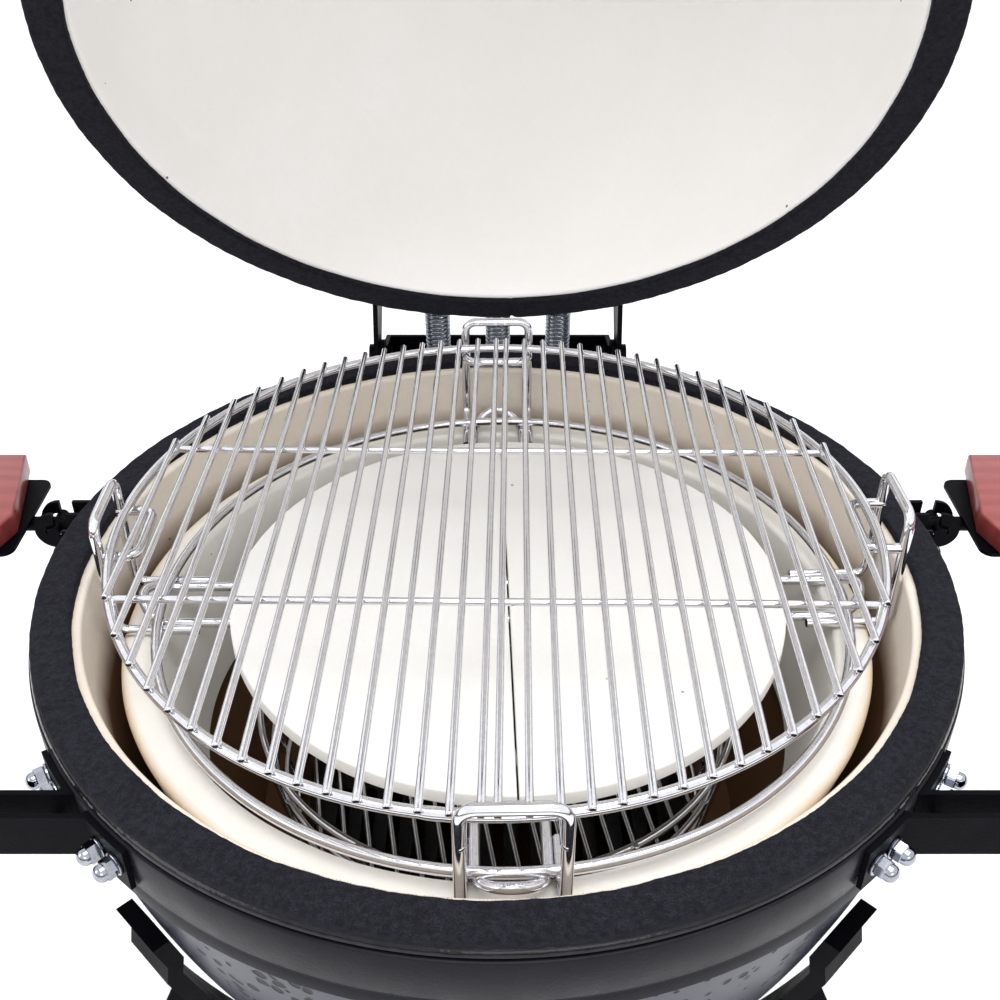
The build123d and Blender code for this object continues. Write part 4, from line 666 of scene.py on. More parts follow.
def make_wood():
    """Red-brown varnished hardwood: long grain, growth bands and short dark pores along the board."""
    f = Finish("red_wood", Roughness=0.32, IOR=1.48, Coat_Weight=0.25, Coat_Roughness=0.2)
    along = f.turned(scale=(1, 14, 14))
    rings = f.add("TexWave", {"bands_direction": "Y"}, Vector=f.turned(scale=(0.35, 1, 1)),
                  Scale=22.0, Distortion=5.0, Detail=3.0, Detail_Scale=0.9)
    grain = f.add("TexNoise", Vector=along, Scale=28.0, Detail=6.0, Roughness=0.65)
    pores = f.add("TexNoise", Vector=f.turned(scale=(1, 22, 22)), Scale=60.0, Detail=2.0)
    tone = f.mix(f.spread(rings.outputs["Fac"], 0.2, 0.9, 0, 1), rgb(132, 56, 54), rgb(144, 66, 64))
    tone = f.mix(f.spread(grain.outputs["Fac"], 0.35, 0.75, 0, 0.3), tone, rgb(126, 46, 38))
    deep = f.spread(pores.outputs["Fac"], 0.66, 0.74, 0, 0.7)
    f.link(f.mix(f.math("MULTIPLY", deep, 0.45), tone, rgb(84, 26, 20)), "Base Color")
    height = f.math("SUBTRACT", f.math("MULTIPLY", grain.outputs["Fac"], 0.6), deep)
    f.link(f.add("Bump", Height=height, Distance=0.00012, Strength=1.0).outputs["Normal"], "Normal")
    return f.material


GLAZE = make_glaze()
RIM_GLAZE = make_smooth_glaze()
LID_CERAMIC = make_ceramic(
    "lid_ceramic", rgb(250, 249, 247), rgb(246, 244, 240), rgb(120, 110, 100), 0.035).material
BASE_CERAMIC = make_base_ceramic()
PLATE_CERAMIC = make_ceramic(
    "plate_ceramic", rgb(240, 239, 236), rgb(235, 233, 229), rgb(160, 150, 140), 0.04).material
FIRE_CLAY = make_fire_ceramic()
FELT = make_felt()
BAND_PAINT = make_paint("band_steel", rgb(17, 17, 23), rgb(25, 25, 32), 0.3, shine=0.1)
BLACK_PAINT = make_paint("black_steel", rgb(5, 5, 9), rgb(10, 10, 15), 0.42, 700.0, 0.00012, 0.04)
CAST_IRON = make_paint("cast_iron", rgb(13, 13, 15), rgb(24, 24, 25), 0.55, 600.0, 0.0005, 0.3)
WIRE_STEEL = make_metal("wire_steel", rgb(226, 226, 230), rgb(214, 214, 219), 0.08)
SHEET_STEEL = make_metal("sheet_steel", rgb(196, 195, 192), rgb(172, 171, 168), 0.3, (1, 1, 20), 90.0)
ZINC = make_metal("zinc", rgb(176, 180, 188), rgb(132, 137, 148), 0.26)
CHROME = make_metal("chrome", rgb(172, 175, 184), rgb(146, 149, 159), 0.06)
WOOD = make_wood()
RUBBER = make_paint("rubber", rgb(20, 20, 21), rgb(32, 32, 33), 0.7, 900.0, 0.0003)
PAD_FELT = make_ceramic(
    "foot_felt", rgb(110, 110, 112), rgb(84, 84, 88), rgb(60, 60, 62), 0.3, 0.95).material
DIAL_WHITE = make_paint("dial", rgb(222, 222, 216), rgb(232, 232, 228), 0.45)
NEEDLE_RED = make_paint("needle", rgb(170, 20, 16), rgb(150, 16, 12), 0.4)

CAD_FINISH = {
    "black_glaze": GLAZE, "felt": FELT, "band_steel": BAND_PAINT, "black_steel": BLACK_PAINT,
    "white_ceramic": BASE_CERAMIC, "fire_ceramic": FIRE_CLAY, "stainless": SHEET_STEEL, "chrome": CHROME,
    "zinc": ZINC, "cast_iron": CAST_IRON, "red_wood": WOOD, "dial": DIAL_WHITE, "needle": NEEDLE_RED,
    "tyre": RUBBER, "foot_felt": PAD_FELT,
}
for part in frame["record"]["subparts"]:
    cad_mesh = frame["nodes"][part["node"]].data
    cad_mesh.materials.clear()
    cad_mesh.materials.append(CAD_FINISH[part["material_slot"]])


# ---- base ceramic ----
def quarter(centre, radius, start, end, steps=6):
    """Points of an arc in the (radius, height) plane, angles in degrees."""
    a = np.radians(np.linspace(start, end, steps))
    return np.stack([centre[0] + radius * np.cos(a), centre[1] + radius * np.sin(a)], -1)


def window(angles, heights):
    """Which faces of a wall, by their middles, lie in the draft window."""
    level = (heights > WINDOW_Z[0]) & (heights < WINDOW_Z[1])
    return level[:, None] & (np.abs(angles + 90) < WINDOW_HALF)[None]


def base_outside():
    """The outside of the base: body_r of the height and a sine's swell under the band, or the draft
    boss's radius where that is larger.
    The rows and columns at the boss's edges are doubled, so that its steps are square."""
    angles = np.arange(-270.0, 90.0, 1.0)
    inside = np.abs(angles + 90) < BOSS_HALF
    for edge in (-90 - BOSS_HALF, -90 + BOSS_HALF):
        at = int(np.searchsorted(angles, edge))
        angles = np.insert(angles, at, edge)
        inside = np.insert(inside, at, edge > -90)
        inside[at + 1] = edge < -90
    rim = np.concatenate([
        [(RIM_R - FELT_W / 2, RIM_Z)],
        quarter((RIM_R - 3, RIM_Z - 4), 4, 90, 0),
        [(SIDE_R, BAND_TOP + 0.5), (SIDE_R, BODY_TOP_Z + 4), (BODY_TOP_R, BODY_TOP_Z)],
    ])
    side_z = np.linspace(BODY_TOP_Z - 2, BASE_BOTTOM + 0.5, 100)
    side_z = np.unique(np.concatenate([side_z, WINDOW_Z]))[::-1]
    at = int(np.searchsorted(-side_z, -BOSS_LOW))
    side_z = np.insert(side_z, at, [BOSS_LOW, BOSS_LOW])
    boss_row = np.arange(len(side_z)) <= at
    swell = np.clip((BODY_TOP_Z - side_z) / SWELL_SPAN, 0, 1)
    side = body_r(side_z) + SWELL * np.sin(math.pi * swell) ** 0.8
    side_r = np.repeat(side[:, None], len(angles), 1)
    side_r = np.where(boss_row[:, None] & inside[None], np.maximum(side_r, BOSS_R), side_r)
    foot_r = np.array([FOOT_R, FOOT_R - 4, 60, 0])[:, None]
    r = np.concatenate([rim[:, :1] + 0 * angles, side_r, foot_r + 0 * angles])
    z = np.concatenate([rim[:, 1], side_z, np.full(4, BASE_BOTTOM)])
    a = np.radians(angles)
    points = np.stack([r * np.cos(a), r * np.sin(a), np.repeat(z[:, None], len(angles), 1)], -1)
    middle_a = (angles + np.roll(angles, -1)) / 2
    middle_z = (z[1:] + z[:-1]) / 2
    glossy = np.arange(len(z) - 1) < len(rim) - 3
    return points, ~window(middle_a, middle_z), glossy


def base_inside():
    """The inside of the base, its floor and the half of the rim under the felt."""
    angles = np.arange(-270.0, 90.0, 1.0)
    z = np.unique(np.concatenate([np.linspace(BODY_TOP_Z, BASE_FLOOR, 50), WINDOW_Z]))[::-1]
    rows = np.concatenate([
        [(RIM_R - FELT_W / 2, RIM_Z), (INNER_R + 3, RIM_Z)],
        quarter((INNER_R + 3, RIM_Z - 3), 3, 90, 180, 4)[1:],
        [(INNER_R, BODY_TOP_Z + 20)],
        np.stack([body_r(z, WALL), z], -1),
        [(60, BASE_FLOOR), (0, BASE_FLOOR)],
    ])
    a = np.radians(angles)
    points = np.stack([rows[:, :1] * np.cos(a), rows[:, :1] * np.sin(a), rows[:, 1:] + 0 * a], -1)
    middle_z = (rows[1:, 1] + rows[:-1, 1]) / 2
    return points, ~window(angles + 0.5, middle_z)


def window_walls():
    """The four walls of the draft window, from the inside of the base out to the boss."""
    walls = []
    a = np.radians(np.arange(-90 - WINDOW_HALF, -89 + WINDOW_HALF, 1.0))
    for z in WINDOW_Z:
        r = np.array([float(body_r(z, WALL)), BOSS_R])[:, None]
        walls.append(grid(np.stack([r * np.cos(a), r * np.sin(a), z + 0 * r * a], -1)))
    z = np.linspace(WINDOW_Z[0], WINDOW_Z[1], 2)
    for side in (a[0], a[-1]):
        r = np.stack([body_r(z, WALL), np.full(2, BOSS_R)])
        walls.append(grid(np.stack([r * math.cos(side), r * math.sin(side), z + 0 * r], -1)))
    return walls


def make_base():
    outside, keep, glossy = base_outside()
    inside, keep_inside = base_inside()
    parts = [
        (grid(outside, wrap_v=True, keep=keep & glossy[:, None]), 1),
        (grid(outside, wrap_v=True, keep=keep & ~glossy[:, None]), 0),
        (grid(inside, wrap_v=True, keep=keep_inside), 2),
    ]
    parts += [(wall, 2) for wall in window_walls()]
    piece("base_ceramic", parts, [GLAZE, RIM_GLAZE, BASE_CERAMIC], "base", ["base_shell"])


make_base()


# ---- lid ceramic ----
def arc_through(a, b, c, steps):
    """Points on the circle through three points of a plane, from a to c."""
    (ax, ay), (bx, by), (cx, cy) = a, b, c
    d = 2 * (ax * (by - cy) + bx * (cy - ay) + cx * (ay - by))
    sa, sb, sc = ax * ax + ay * ay, bx * bx + by * by, cx * cx + cy * cy
    ux = (sa * (by - cy) + sb * (cy - ay) + sc * (ay - by)) / d
    uy = (sa * (cx - bx) + sb * (ax - cx) + sc * (bx - ax)) / d
    r = math.hypot(ax - ux, ay - uy)
    t = np.linspace(math.atan2(ay - uy, ax - ux), math.atan2(cy - uy, cx - ux), steps)
    return np.stack([ux + r * np.cos(t), uy + r * np.sin(t)], -1)


DOME_MID_R = 205.0 * SIDE_R / 277.0
DOME_MID_Z = LID_SPRING + 0.64 * LID_RISE


def dome(r_end, inset, steps):
    return arc_through((SIDE_R - 2 - inset, LID_SPRING),
                       (DOME_MID_R - 0.74 * inset, DOME_MID_Z - 0.67 * inset),
                       (r_end, LID_TOP - inset), steps)


def make_lid():
    """A thick dome: the outer arc, the vent's neck and the inner arc, each carried round the axis."""
    bead = np.concatenate([
        [(RIM_R - FELT_W / 2, LID_LOW)],
        quarter((RIM_R - 3, LID_LOW + 4), 4, -90, 0),
        [(SIDE_R, LID_LOW + BAND_DROP), (SIDE_R, LID_SPRING - 2)],
    ])
    outer = np.concatenate([[(SIDE_R, LID_SPRING - 2)], dome(LID_NECK_R, 0, 90), [(VENT_R, LID_TOP)]])
    inner = np.concatenate([
        [(VENT_R, LID_TOP), (VENT_R, LID_TOP - LID_WALL + 3)],
        dome(VENT_R + 12, LID_WALL, 90)[::-1],
        [(LID_INNER_R, LID_SPRING - 18)],
        quarter((LID_INNER_R + 3, LID_LOW + 3), 3, 180, 270, 4),
        [(RIM_R - FELT_W / 2, LID_LOW)],
    ])
    parts = [(revolve(bead, 360), 1), (revolve(outer, 360), 0), (revolve(inner, 360), 2)]
    finishes = [GLAZE, RIM_GLAZE, LID_CERAMIC]
    piece("lid_dome", parts, finishes, "lid", ["lid_shell"], opened)


make_lid()


# ---- felt ----
def felt_ring(name, body, node_name, low, seam, seed, turn, face):
    """A strip of felt bent into a ring. Its section is a soft-cornered rectangle whose inner edge
    wanders, whose face swells and sinks, and which dips where its two ends butt at the seam. Fuzz
    stands on it, pressed flat where it would meet the other ring. face is +1 if its free side is
    up and -1 if it is down."""
    steps = 900
    angle = np.linspace(0, 2 * math.pi, steps, endpoint=False)
    thick = FELT_T - RUN
    inner = RIM_R - FELT_W + wander(angle, seed, (7, 13, 29), 0.3)
    inner += 0.1 * wander(angle, seed + 1, (61, 151, 203, 257, 311), 1.0)
    outer = RIM_R - 0.45 + wander(angle, seed + 2, (5, 17, 43, 171), 0.14)
    top = thick - 0.35 + wander(angle, seed + 3, (9, 21, 47, 111), 0.3)
    away = np.abs((angle - seam + math.pi) % (2 * math.pi) - math.pi)
    dip = np.exp(-((away * RIM_R / 1.1) ** 2))
    top -= 1.6 * dip
    outer -= 0.8 * dip
    inner += 0.8 * dip
    soft = 1.7
    corner = np.radians(np.linspace(0, 90, 5))
    across, height = [], []
    for c in corner:
        across.append(inner + soft * (1 - math.sin(c)))
        height.append(top - soft * (1 - math.cos(c)))
    across, height = across[::-1], height[::-1]
    for share in np.linspace(0.12, 0.88, 9):
        across.append(inner + (outer - inner) * share)
        ripple = 0.16 * wander(angle + share, seed + 5, (33, 71, 139))
        height.append(top + 0.22 * math.sin(math.pi * share) + ripple)
    for c in corner:
        across.append(outer - soft * (1 - math.sin(c)))
        height.append(top - soft * (1 - math.cos(c)))
    across += [outer, outer - 0.3, inner + 0.3, inner]
    height += [0 * top + 1.2, 0 * top, 0 * top, 0 * top + 1.2]
    r, h = np.array(across), np.array(height)
    z = low + h if face > 0 else low + thick - h
    points = np.stack([r * np.cos(angle), r * np.sin(angle), z], -1)
    rng = np.random.default_rng(seed)
    count = 9000
    row = rng.integers(1, len(across) - 4, count)
    column = rng.integers(0, steps, count)
    roots = points[row, column]
    lean = rng.normal(size=(count, 3)) * 0.55
    lean[:, 2] += face * 0.9
    radial = roots[:, :2] / np.linalg.norm(roots[:, :2], axis=1, keepdims=True)
    edge = np.where(row < 5, -1.0, np.where(row > len(across) - 10, 1.0, 0.0))
    lean[:, :2] += radial * edge[:, None] * 1.1
    length = rng.uniform(0.3, 1.0, count) ** 2 * 1.3 + 0.25
    hair = needles(roots, unit(lean) * length[:, None], 0.1, seed)
    for corners in (points, hair[0]):
        corners[..., 2] = face * np.minimum(face * corners[..., 2], -TOUCH)
    parts = [grid(points, wrap_u=True, wrap_v=True), hair]
    piece(name, parts, FELT, body, [node_name], turn, 80)


felt_ring("base_felt", "base", "base_gasket", -FELT_T, math.radians(84), 11, bench, 1)
felt_ring("lid_felt", "lid", "lid_gasket", RUN, math.radians(87.5), 23, opened, -1)


# ---- bands ----
def band_profile(low):
    """Section of the strap: rounded edges, and a joggle above the lip."""
    high = low + BAND_H
    return np.array([
        (BAND_R, low + 0.6), (BAND_R + 0.6, low), (BAND_OUT - 1.1, low), (BAND_OUT - 0.5, low + 0.7),
        (BAND_OUT - 0.5, low + 9), (BAND_OUT - 0.9, low + 10.2), (BAND_OUT - 0.5, low + 11.4),
        (BAND_OUT - 0.02, low + 12.6), (BAND_OUT - 0.02, high - 1.4), (BAND_OUT - 0.35, high - 0.4),
        (BAND_OUT - 1.2, high), (BAND_R + 0.6, high), (BAND_R, high - 0.6),
    ])


def make_band(name, body, node_name, low, ears, turn):
    gap = math.degrees((CLAMP_GAP / 2 + (BAND_T if ears else 0)) / BAND_R)
    profile = band_profile(low)
    parts = [revolve(profile, 361, 90 + gap, 360 - 2 * gap, wrap_profile=True)]
    for end in (90 + gap, 90 - gap):
        a = math.radians(end)
        flat = np.stack([profile[:, 0] * math.cos(a), profile[:, 0] * math.sin(a), profile[:, 1]], -1)
        middle = np.repeat(flat.mean(0)[None], len(flat), 0)
        parts.append(grid(np.stack([flat, middle]), wrap_v=True))
    if ears:
        for side in (-1, 1):
            x0, x1 = sorted((side * CLAMP_GAP / 2, side * (CLAMP_GAP / 2 + BAND_T)))
            y0, y1 = BAND_R, BAND_R + CLAMP_EAR
            outline = np.array([(y0, low), (y1, low), (y1, low + BAND_H), (y0, low + BAND_H)])
            corners, faces = plate(outline, x0, x1, 0.6, 3, 2)
            parts.append((np.stack([corners[:, 2], corners[:, 0], corners[:, 1]], -1), faces))
    piece(name, parts, BAND_PAINT, body, [node_name], turn)


make_band("base_strap", "base", "base_band", BAND_TOP - BAND_H, True, bench)
make_band("lid_strap", "lid", "lid_band", LID_LOW + BAND_DROP, False, opened)

# ---- fire ring and deflectors ----
FIREBOX_GAP = 9.0
FIRE_RING_R = INNER_R - 15.0
FIRE_LOW = FIRE_RING_TOP - FIRE_RING_H
FIRE_LOW_R = float(body_r(FIRE_LOW, WALL)) - FIREBOX_GAP


def make_fire_ring():
    """A tapered ring of fire clay with rounded lips, out of round by half a millimetre."""
    profile = np.concatenate([
        quarter((FIRE_RING_R - 4.2, FIRE_RING_TOP - 4), 4, 0, 90),
        quarter((FIRE_RING_R - FIRE_RING_WALL + 4.2, FIRE_RING_TOP - 4), 4, 90, 180),
        [(FIRE_LOW_R - FIRE_RING_WALL + 0.2, FIRE_LOW + 1.5)],
        [(FIRE_LOW_R - FIRE_RING_WALL + 1.7, FIRE_LOW)],
        [(FIRE_LOW_R - 1.7, FIRE_LOW), (FIRE_LOW_R - 0.2, FIRE_LOW + 1.5)],
    ])
    points, faces = revolve(profile, 300, wrap_profile=True)
    angle = np.arctan2(points[:, 1], points[:, 0])
    top = points[:, 2] > FIRE_RING_TOP - 5
    points[:, 2] += np.where(top, 0.12 * wander(angle, 5, (3, 8, 19), 1.0) - 0.14, 0)
    points[:, :2] *= (1 + 0.0006 * wander(angle, 6, (2, 5, 23), 1.0) - 0.0006)[:, None]
    piece("fire_ring_clay", [(points, faces)], FIRE_CLAY, "base", ["fire_ring"])


make_fire_ring()

RACK_LOW = FIRE_RING_TOP + RUN + RACK_WIRE
DEFLECTOR_LOW = RACK_LOW + RACK_WIRE + 0.1


def circle(radius, z, steps=240, shift=0.0):
    a = np.linspace(0, 2 * math.pi, steps, endpoint=False)
    return np.stack([shift + radius * np.cos(a), radius * np.sin(a), z + 0 * a], -1)


def spin(points, degrees, shift=0.0):
    """Points turned about Z, then moved along X."""
    a = math.radians(degrees)
    points = np.asarray(points, float)
    x, y, c, s = points[..., 0], points[..., 1], math.cos(a), math.sin(a)
    return np.stack([x * c - y * s + shift, x * s + y * c, points[..., 2]], -1)


def make_deflector(name, side):
    """A half-moon of white ceramic: an arc closed by the seam's straight edge."""
    reach = DEFLECTOR_R - 0.2
    start = math.degrees(math.asin(DEFLECTOR_SEAM / 2 / reach))
    a = np.radians(np.linspace(-90 + start, 90 - start, 97))
    arc = np.stack([reach * np.cos(a), reach * np.sin(a)], -1)
    seam = np.stack([np.full(9, DEFLECTOR_SEAM / 2), np.linspace(arc[-1, 1], arc[0, 1], 11)[1:-1]], -1)
    outline = np.concatenate([arc, seam])
    if side < 0:
        outline = (outline * (-1, 1))[::-1]
    points, faces = plate(outline, DEFLECTOR_LOW, DEFLECTOR_LOW + DEFLECTOR_T, 1.2, 4, 12)
    points = spin(points, PLATE_TURN, PLATE_SHIFT)
    piece(name + "_plate", [(points, faces)], PLATE_CERAMIC, "rack", [name])


make_deflector("deflector_left", -1)
make_deflector("deflector_right", 1)


# ---- rack, grate and basket ----
def make_rack():
    """Wire rack: a ring, two long loops that cross under the plates and rise at their rounded ends
    by the cosine squared of the end's angle, four handles and four carriers."""
    half = RACK_HANDLE_W / 2
    loop_half = half - 2 * RACK_WIRE + 0.2
    loop_end = RACK_RING_R + 12
    straight = loop_end - loop_half
    ring_z = RACK_LOW + 2 * RACK_WIRE - 0.4
    parts = [tube(circle(RACK_RING_R, ring_z, shift=RACK_SHIFT), RACK_WIRE, closed=True)]

    def placed(points, degrees):
        return spin(points, degrees + RACK_TURN, RACK_SHIFT)

    for degrees in (0, 90):
        ends = np.radians(np.linspace(-90, 90, 19))
        rise = LOOP_RISE * np.cos(ends) ** 2
        x, y = straight + loop_half * np.cos(ends), loop_half * np.sin(ends)
        right = np.stack([x, y, RACK_LOW + rise], -1)
        left = spin(right, 180)
        path = np.concatenate([right, left])
        parts.append(tube(placed(path, degrees), RACK_WIRE, closed=True))
    carrier_z = GRILL_Z - GRILL_RING_WIRE - RACK_WIRE - RUN
    for degrees in (0, 90, 180, 270):
        handle = bent([(RACK_RING_R - 26, -half, RACK_LOW), (RACK_R, -half, RACK_LOW),
                       (RACK_R, -half, RACK_HANDLE_TOP), (RACK_R, half, RACK_HANDLE_TOP),
                       (RACK_R, half, RACK_LOW), (RACK_RING_R - 26, half, RACK_LOW)], 8)
        parts.append(bent_wire(placed(handle, degrees), RACK_WIRE))
        inner = half - 0.6
        carrier = bent([(RACK_R, -inner, carrier_z), (GRILL_R - 11, -inner, carrier_z),
                        (GRILL_R - 11, inner, carrier_z), (RACK_R, inner, carrier_z)], 8)
        parts.append(bent_wire(placed(carrier, degrees), RACK_WIRE))
        for y in (-half, half):
            weld = placed((RACK_R, y * 0.98, carrier_z), degrees)
            parts.append(blob(weld, (3.6, 3.6, 3.6)))
            foot = placed((RACK_RING_R, y, ring_z - RACK_WIRE), degrees)
            parts.append(blob(foot, (3.4, 3.4, 2.6)))
    piece("rack_wires", parts, WIRE_STEEL, "rack", ["heat_rack"], sharp=60)


def make_grate():
    """The cooking grate: a wire ring, two cross wires under the bars, and the bars with a bead of
    weld at each crossing."""
    bar_z = GRILL_Z + GRILL_RING_WIRE + GRILL_BAR - 0.3
    cross_wire = 2.3
    cross_z = bar_z - GRILL_BAR - cross_wire + 0.2
    parts = [tube(circle(GRILL_R, GRILL_Z, 300), GRILL_RING_WIRE, closed=True, sides=16)]
    for y in (-GRILL_CROSS_Y, GRILL_CROSS_Y):
        reach = math.sqrt(GRILL_R**2 - y * y)
        parts.append(bar((-reach, y, cross_z), (reach, y, cross_z), cross_wire))
    xs = [side * (GRILL_MIDDLE / 2 + i * GRILL_PITCH) for i in range(GRILL_BARS) for side in (-1, 1)]
    for x in xs:
        half = math.sqrt(GRILL_R**2 - x * x)
        parts.append(bar((x, -half - 4.5, bar_z), (x, half + 4.5, bar_z), GRILL_BAR, 0.7, 14))
        for y in (-half, half):
            parts.append(blob((x, y, bar_z - GRILL_BAR + 0.1), (2.5, 2.3, 1.3)))
        for y in (-GRILL_CROSS_Y, GRILL_CROSS_Y):
            if abs(y) < half:
                parts.append(blob((x, y, bar_z - GRILL_BAR + 0.1), (2.5, 2.0, 0.9)))
    lap = np.radians(np.linspace(262, 268, 7))
    seam = np.stack([GRILL_R * np.cos(lap), GRILL_R * np.sin(lap), GRILL_Z + 0 * lap], -1)
    parts.append(tube(seam, GRILL_RING_WIRE + np.array([0, 0.35, 0.45, 0.3, 0.45, 0.35, 0]), sides=14))
    parts = [(spin(points, GRATE_TURN), faces) for points, faces in parts]
    piece("grate_wires", parts, WIRE_STEEL, "cooking_grate", ["cooking_grate"], sharp=50)


def make_basket():
    """The charcoal basket: four rings that widen upwards, twelve posts and a floor of bars."""
    low = GRATE_LEVEL + RUN + BASKET_WIRE
    parts = []
    for i in range(4):
        share = i / 3
        r = BASKET_R - BASKET_TAPER * (1 - share)
        parts.append(tube(circle(r, low + share * BASKET_H, 120), BASKET_WIRE, closed=True))
    for i in range(12):
        top = spin((BASKET_R + 3.6, 0, low + BASKET_H + 5), 30 * i)
        foot = spin((BASKET_R - BASKET_TAPER + 3.6, 0, low - 1), 30 * i)
        parts.append(bar(foot, top, BASKET_BAR, 0.6, 10))
    floor_z = low + BASKET_WIRE + BASKET_BAR - 0.4
    floor_r = BASKET_R - BASKET_TAPER
    count = int(floor_r / BASKET_PITCH)
    for i in range(-count, count + 1):
        x = i * BASKET_PITCH
        half = math.sqrt(floor_r**2 - x * x)
        ends = spin([(x, -half, floor_z), (x, half, floor_z)], math.degrees(BASKET_TURN))
        parts.append(bar(ends[0], ends[1], BASKET_BAR, 0.6, 10))
    body = "charcoal_basket"
    piece("basket_wires", parts, WIRE_STEEL, body, ["charcoal_basket"], sharp=50)


make_rack()
make_grate()
make_basket()


# ---- springs ----
def make_spring(name, x):
    """An extension spring: a helix whose ends rise into a hook round each rod. A point of the wire
    is the helix point plus a circle in the plane of its radial and cross directions."""
    low, high = np.array([x, *SPRING_LOW]), np.array([x, *SPRING_HIGH])
    way = unit(high - low)
    across = np.array([1.0, 0, 0])
    fore = np.cross(way, across)
    eye = SPRING_ROD_R + SPRING_WIRE + 0.3
    trim = eye + SPRING_WIRE
    length = np.linalg.norm(high - low) - 2 * trim - 2 * SPRING_WIRE
    turns = length / SPRING_PITCH
    t = np.linspace(0, 1, int(turns * 20))
    a = 2 * math.pi * turns * t
    taper = np.clip(np.minimum(t, 1 - t) * turns / 1.2, 0, 1) ** 0.5
    radius = SPRING_R * (0.35 + 0.65 * taper)
    radial = np.cos(a)[:, None] * across + np.sin(a)[:, None] * fore
    path = low + way * (trim + SPRING_WIRE) + t[:, None] * length * way + radius[:, None] * radial
    along = unit(np.gradient(path, axis=0))
    other = unit(np.cross(along, radial))
    inward = np.cross(other, along)
    b = np.linspace(0, 2 * math.pi, 8, endpoint=False)[None, :, None]
    rings = path[:, None] + SPRING_WIRE * (np.cos(b) * inward[:, None] + np.sin(b) * other[:, None])
    first, last = np.repeat(path[:1, None], 8, 1), np.repeat(path[-1:, None], 8, 1)
    parts = [grid(np.concatenate([first, rings, last]), wrap_v=True)]
    c = np.linspace(0, 2 * math.pi, 28, endpoint=False)[:, None]
    for middle in (low, high):
        loop = middle + eye * (np.cos(c) * way + np.sin(c) * np.array([0, way[2], -way[1]]))
        parts.append(tube(loop, SPRING_WIRE, up=(1, 0, 0), sides=8, closed=True))
    made = piece(name + "_coil", parts, ZINC, None, [name], sharp=60)
    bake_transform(made)


for spring_place, where in enumerate(("left", "centre", "right"), -1):
    make_spring(f"spring_{where}", spring_place * SPRING_SPACING)


# ---- cap nuts ----
def cap_nut(origin, out):
    """A cap nut on a washer: a bevelled hexagon, then a dome whose radius follows a quarter ellipse."""
    origin, out = np.asarray(origin, float), unit(np.asarray(out, float))
    washer_s, washer_r = [0.1, 0.1, 0.35, 1.2, 1.5, 1.5], [0, 6.3, 6.5, 6.5, 6.2, 0]
    parts = [turned(origin, origin + out, washer_s, washer_r, 24)]
    top = np.array([0, 0, 1.0])
    side = unit(np.cross(top, out))
    top = np.cross(out, side)
    hexagon = np.radians(np.arange(0, 360, 60) + 15)
    rows = [(1.5, 0.0), (1.5, 5.1), (2.1, 5.7), (6.4, 5.7), (7.0, 5.1), (7.0, 4.9)]
    around = np.cos(hexagon)[:, None] * side + np.sin(hexagon)[:, None] * top
    rings = [origin + h * out + r * around for h, r in rows]
    parts.append(grid(np.array(rings), wrap_v=True))
    a = np.linspace(0, math.pi / 2, 8)
    s = np.concatenate([[6.9], 8.2 + 3.8 * np.sin(a)])
    r = np.concatenate([[4.75], 4.7 * np.cos(a)])
    parts.append(turned(origin, origin + out, s, r, 24))
    return parts


def make_nuts():
    parts = []
    for y in (SHELF_Y + ROD_Y, SHELF_Y - ROD_Y):
        for side in (-1, 1):
            near = math.asin((y + side * (BRACKET_GAP / 2 + BRACKET_T)) / (BAND_OUT + BRACKET_T))
            lean = max(0.0, -side * math.sin(near))
            for i in (0, 1):
                turn = near + side * (9.0 + 8 * lean + i * 14.0) / BAND_OUT
                out = np.array([math.cos(turn), math.sin(turn), 0])
                foot = out * (BAND_OUT + 0.2 + BRACKET_T) + (0, 0, ROD_Z)
                for mirror in (1, -1):
                    flip = np.array([mirror, 1, 1])
                    parts += cap_nut(foot * flip, out * flip)
    piece("cap_nuts", parts, CHROME, "base", ["acorn_nuts"], sharp=35)


make_nuts()


# ---- wooden pieces ----
def make_slats():
    """Each slat is a board with rounded edges and a corner cut to clear the ceramic."""
    low = ROD_Z + 5.0 + 2.0 + 0.1
    point = 47.0 - SHELF_Y - SLAT_STEP
    for row, where in ((1, "rear"), (0, "middle"), (-1, "front")):
        near, far = -SLAT_W / 2, SLAT_W / 2
        start = [(332.0, near), (319.0, point), (335.0, far)] if row else [(333.0, near), (333.0, far)]
        flip = row if row else 1
        outline = np.array(start + [(SLAT_END, far), (SLAT_END, near)])
        outline = np.stack([outline[:, 0], SHELF_Y + row * SLAT_STEP + flip * outline[:, 1]], -1)
        if flip > 0:
            outline = outline[::-1]
        for mirror, side in ((1, "right"), (-1, "left")):
            shape = outline * (mirror, 1)
            shape = shape if mirror > 0 else shape[::-1]
            board = plate(shape, low, low + SLAT_T, 1.8, 4, 3)
            name, body = f"{side}_{where}", f"{side}_shelf"
            piece(f"board_{name}", [board], WOOD, body, [f"slat_{name}"], sharp=30)


make_slats()


def make_grip():
    """The lid's grip: a straight turned bar whose ends are rounded by a quarter circle."""
    y = -BAND_OUT - HANDLE_REACH
    z = LID_LOW + BAND_DROP + BAND_H / 2
    half = HANDLE_X + 38
    t = np.linspace(0, 1, 60)
    a = np.linspace(0, math.pi / 2, 7)
    end_s, end_r = 6 * (1 - np.cos(a)), 8.8 + 6 * np.sin(a)
    s = np.concatenate([[0], end_s, 6 + (2 * half - 12) * t[1:-1], 2 * half - end_s[::-1], [2 * half]])
    r = np.concatenate([[0], end_r, 14.8 + 0 * t[1:-1], end_r[::-1], [0]])
    part = turned((-half, y, z), (half, y, z), s, r, 32)
    piece("grip", [part], WOOD, "lid", ["handle_grip"], opened)


make_grip()


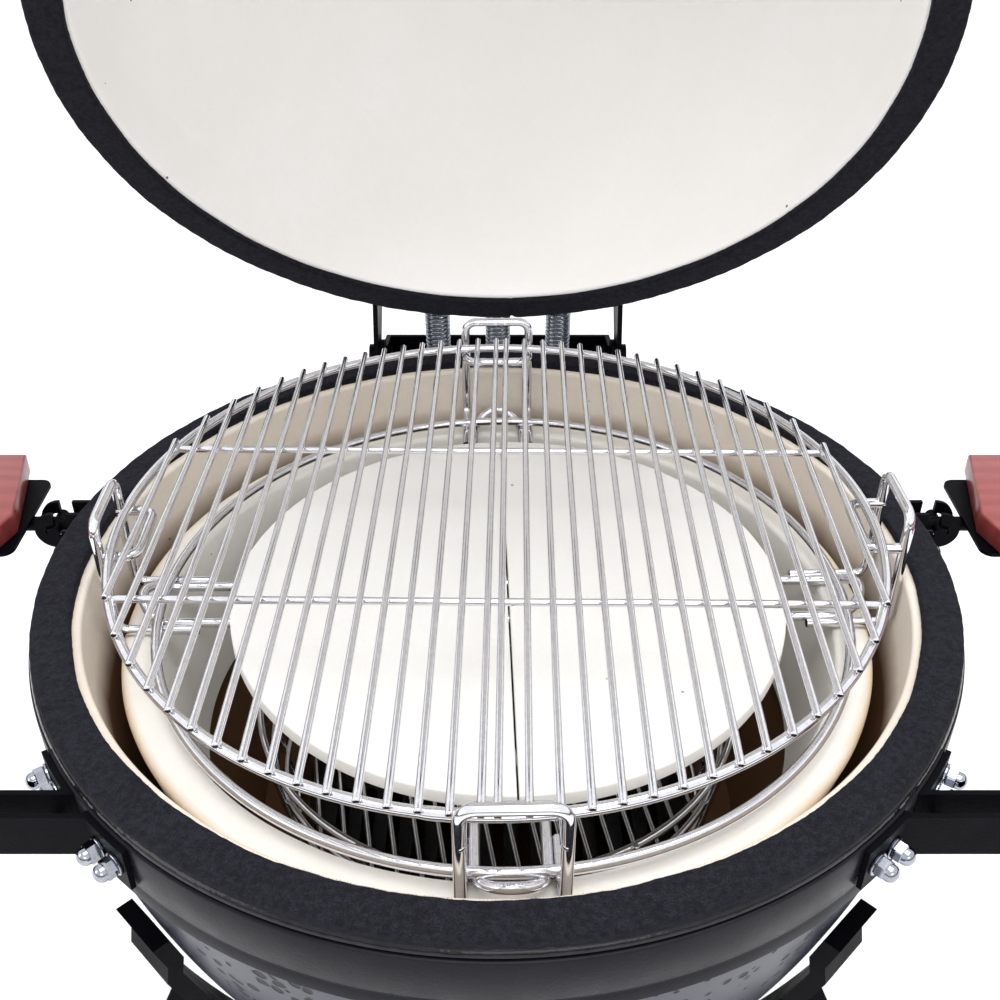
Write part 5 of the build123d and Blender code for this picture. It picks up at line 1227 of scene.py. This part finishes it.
# ---- stage, lights and camera ----
def make_floor():
    """A wide flat floor under the casters."""
    reach, floor_z = 9.0, cad_box[0][2]
    square = ((-reach, -reach), (reach, -reach), (reach, reach), (-reach, reach))
    mesh = bpy.data.meshes.new("floor")
    mesh.from_pydata([(x, y, floor_z) for x, y in square], [], [(0, 1, 2, 3)])
    f = Finish("floor", Roughness=0.9)
    cloud = f.use(MOTTLE, Scale=3.0, A=(0.93, 0.93, 0.94, 1), B=(0.95, 0.95, 0.95, 1))
    f.link(cloud.outputs["Color"], "Base Color")
    mesh.materials.append(f.material)
    floor = bpy.data.objects.new("floor", mesh)
    bpy.context.scene.collection.objects.link(floor)


def soft_light(name, place, aim, size, power):
    data = bpy.data.lights.new(name, "AREA")
    data.shape = "RECTANGLE"
    data.size, data.size_y = size
    data.energy = power
    lamp = bpy.data.objects.new(name, data)
    lamp.location = place
    direction = np.array(aim, float) - np.array(place, float)
    lamp.rotation_mode = "QUATERNION"
    lamp.rotation_quaternion = Vector(direction).to_track_quat("-Z", "Y")
    bpy.context.scene.collection.objects.link(lamp)


def soft_room():
    """A white room whose light fades towards the horizon, so that metal and glaze have an edge."""
    world = bpy.data.worlds.new("studio")
    world.use_nodes = True
    sky = world.node_tree
    background = sky.nodes["Background"]
    background.inputs["Color"].default_value = (0.985, 0.99, 1.0, 1)
    place = node(sky, "TexCoord").outputs["Generated"]
    way_up = node(sky, "SeparateXYZ", Vector=place).outputs[2]
    glow = node(sky, "MapRange", {"interpolation_type": "SMOOTHSTEP"}, Value=way_up,
                From_Min=0.02, From_Max=0.24, To_Min=0.15, To_Max=1.25)
    seen = node(sky, "LightPath").outputs["Is Camera Ray"]
    backdrop = node(sky, "Mix", Factor=seen, i2=glow.outputs["Result"], i3=1.0)
    sky.links.new(backdrop.outputs[0], background.inputs["Strength"])
    bpy.context.scene.world = world
    bpy.context.scene.view_settings.view_transform = "Standard"


make_floor()
soft_room()
soft_light("top_box", (0.3, -0.3, 3.2), (0, 0, 0.8), (2.2, 1.4), 42)
soft_light("left_box", (-2.6, -1.2, 1.9), (0, 0, 0.8), (1.2, 2.0), 16)
soft_light("front_box", (0.6, -3.0, 2.4), (0, 0, 0.7), (2.0, 1.2), 16)

camera_data = bpy.data.cameras.new("camera")
camera_data.lens = 42.24
camera_data.sensor_width = 36.0
camera = bpy.data.objects.new("camera", camera_data)
camera.location = tuple(bench((1.9, -585.2, 440.5)))
camera.rotation_euler = (math.radians(90 - 34.44), 0, 0)
bpy.context.scene.collection.objects.link(camera)
bpy.context.scene.camera = camera
